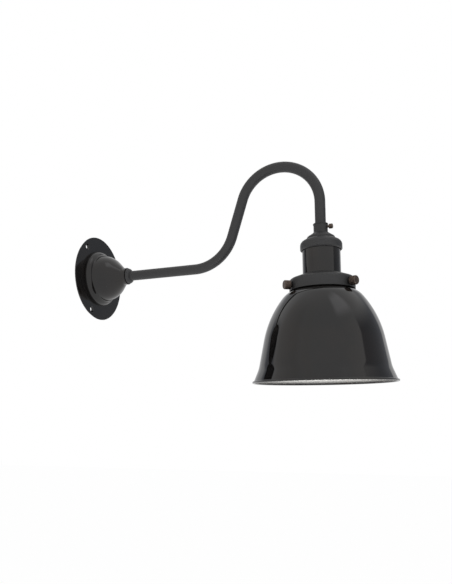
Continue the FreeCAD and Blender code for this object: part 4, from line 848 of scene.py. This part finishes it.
# what the gloss mirrors: azimuth and height limits in degrees, softness, strength, colour
patches = [
    ((-2, 62), (-14, 36), (2, 10), 0.80, (0.16, 0.18, 0.22, 1)),
    ((60, 78), (26, 48), (6, 6), 0.55, (0.20, 0.21, 0.24, 1)),
    ((118, 152), (28, 52), (7, 7), 0.55, (0.18, 0.19, 0.23, 1)),
    ((150, 178), (8, 28), (6, 6), 0.75, (0.12, 0.14, 0.19, 1)),
    ((-179, -128), (-8, 60), (8, 14), 0.22, (0.62, 0.52, 0.44, 1)),
    ((-122, -104), (0, 64), (5, 10), 0.10, (1.0, 0.86, 0.66, 1)),
    ((66, 148), (-24, 26), (10, 10), 0.45, (0.40, 0.40, 0.42, 1)),
    ((-44, 2), (50, 74), (8, 7), 0.65, (2.0, 2.0, 2.05, 1)),
]


def makeFloor():
    mesh = bpy.data.meshes.new("paleFloor")
    half = room["floorHalf"]
    corners = [(x * half, y * half, room["floor"])
               for x, y in ((-1, -1), (1, -1), (1, 1), (-1, 1))]
    mesh.from_pydata(corners, [], [(0, 1, 2, 3)])
    item = bpy.data.objects.new("paleFloor", mesh)
    scene.collection.objects.link(item)
    material, graph = newFinish("paleFloor")
    ray = graph.node("ShaderNodeLightPath")
    seen = ray.part("Is Camera Ray") + ray.part("Is Glossy Ray") + ray.part("Is Transmission Ray")
    lit = graph.node("ShaderNodeBsdfDiffuse", {}, {"Color": room["floorColour"]})
    white = graph.node("ShaderNodeEmission", {}, {"Color": room["white"], "Strength": 1.0})
    mixed = graph.node("ShaderNodeMixShader", {},
                       {0: seen.apply("MINIMUM", 1.0) * room["floorShown"], 1: lit, 2: white})
    graph.node("ShaderNodeOutputMaterial", {}, {"Surface": mixed})
    mesh.materials.append(material)


def makeRoom():
    world = bpy.data.worlds.new("whiteRoom")
    scene.world = world
    world.use_nodes = True
    graph = Graph(world.node_tree)
    way = graph.node("ShaderNodeSeparateXYZ", {},
                     {"Vector": graph.node("ShaderNodeTexCoord", output="Generated")})
    azimuth = way.part("Y").apply("ARCTAN2", way.part("X")) * math.degrees(1)
    height = way.part("Z").apply("ARCSINE") * math.degrees(1)
    mirrored = room["white"]
    for (left, right), (low, high), (softAcross, softUp), strength, colour in patches:
        mask = (graph.ease(azimuth, left - softAcross, left + softAcross)
                * graph.ease(azimuth, right - softAcross, right + softAcross, 1.0, 0.0)
                * graph.ease(height, low - softUp, low + softUp)
                * graph.ease(height, high - softUp, high + softUp, 1.0, 0.0))
        mirrored = graph.blend(mask * strength, mirrored, colour)
    ray = graph.node("ShaderNodeLightPath")
    seen = ray.part("Is Camera Ray") + ray.part("Is Transmission Ray")
    colour = graph.blend(ray.part("Is Glossy Ray"), room["diffuse"], mirrored)
    colour = graph.blend(seen.apply("MINIMUM", 1.0), colour, room["white"])
    back = graph.node("ShaderNodeBackground", {}, {"Color": colour, "Strength": 1.0})
    graph.node("ShaderNodeOutputWorld", {}, {"Surface": back})


# place, the point it faces, width, power
lamps = {"overheadLamp": ((-0.25, -0.75, 1.35), (0.2, 0, 0), 0.7, 3.6),
         "sideLamp": ((1.3, -0.7, 0.5), (0.25, 0, 0), 0.6, 1.8),
         "lowLamp": ((0.42, -0.28, -0.52), (0.335, 0.02, -0.13), 0.3, 4.6)}


def makeLamp(name, place, aim, size, power):
    data = bpy.data.lights.new(name, "AREA")
    data.shape, data.size, data.energy = "DISK", size, power
    item = bpy.data.objects.new(name, data)
    facing = (Vector(aim) - Vector(place)).to_track_quat("-Z", "Y").to_matrix().to_4x4()
    item.matrix_world = Matrix.Translation(place) @ facing
    item.visible_glossy, item.visible_camera = False, False
    scene.collection.objects.link(item)


makeFloor()
makeRoom()
for name, lamp in lamps.items():
    makeLamp(name, *lamp)

photo = {"sensor": 36.0, "lens": 36.576, "shift": 0.10972, "near": 0.01, "far": 60.0,
         "place": (0.479216, -0.751815, -0.191365), "right": (0.937729, 0.347112, -0.013328),
         "up": (0.041798, -0.074661, 0.996333), "back": (0.344844, -0.934847, -0.084521)}
camera = bpy.data.cameras.new("photoCamera")
camera.sensor_width, camera.lens, camera.shift_y = photo["sensor"], photo["lens"], photo["shift"]
camera.clip_start, camera.clip_end = photo["near"], photo["far"]
view = bpy.data.objects.new("photoCamera", camera)
turn = Matrix((photo["right"], photo["up"], photo["back"])).transposed().to_4x4()
view.matrix_world = Matrix.Translation(photo["place"]) @ turn
scene.collection.objects.link(view)
scene.camera = view
print("room, lamps and camera made")
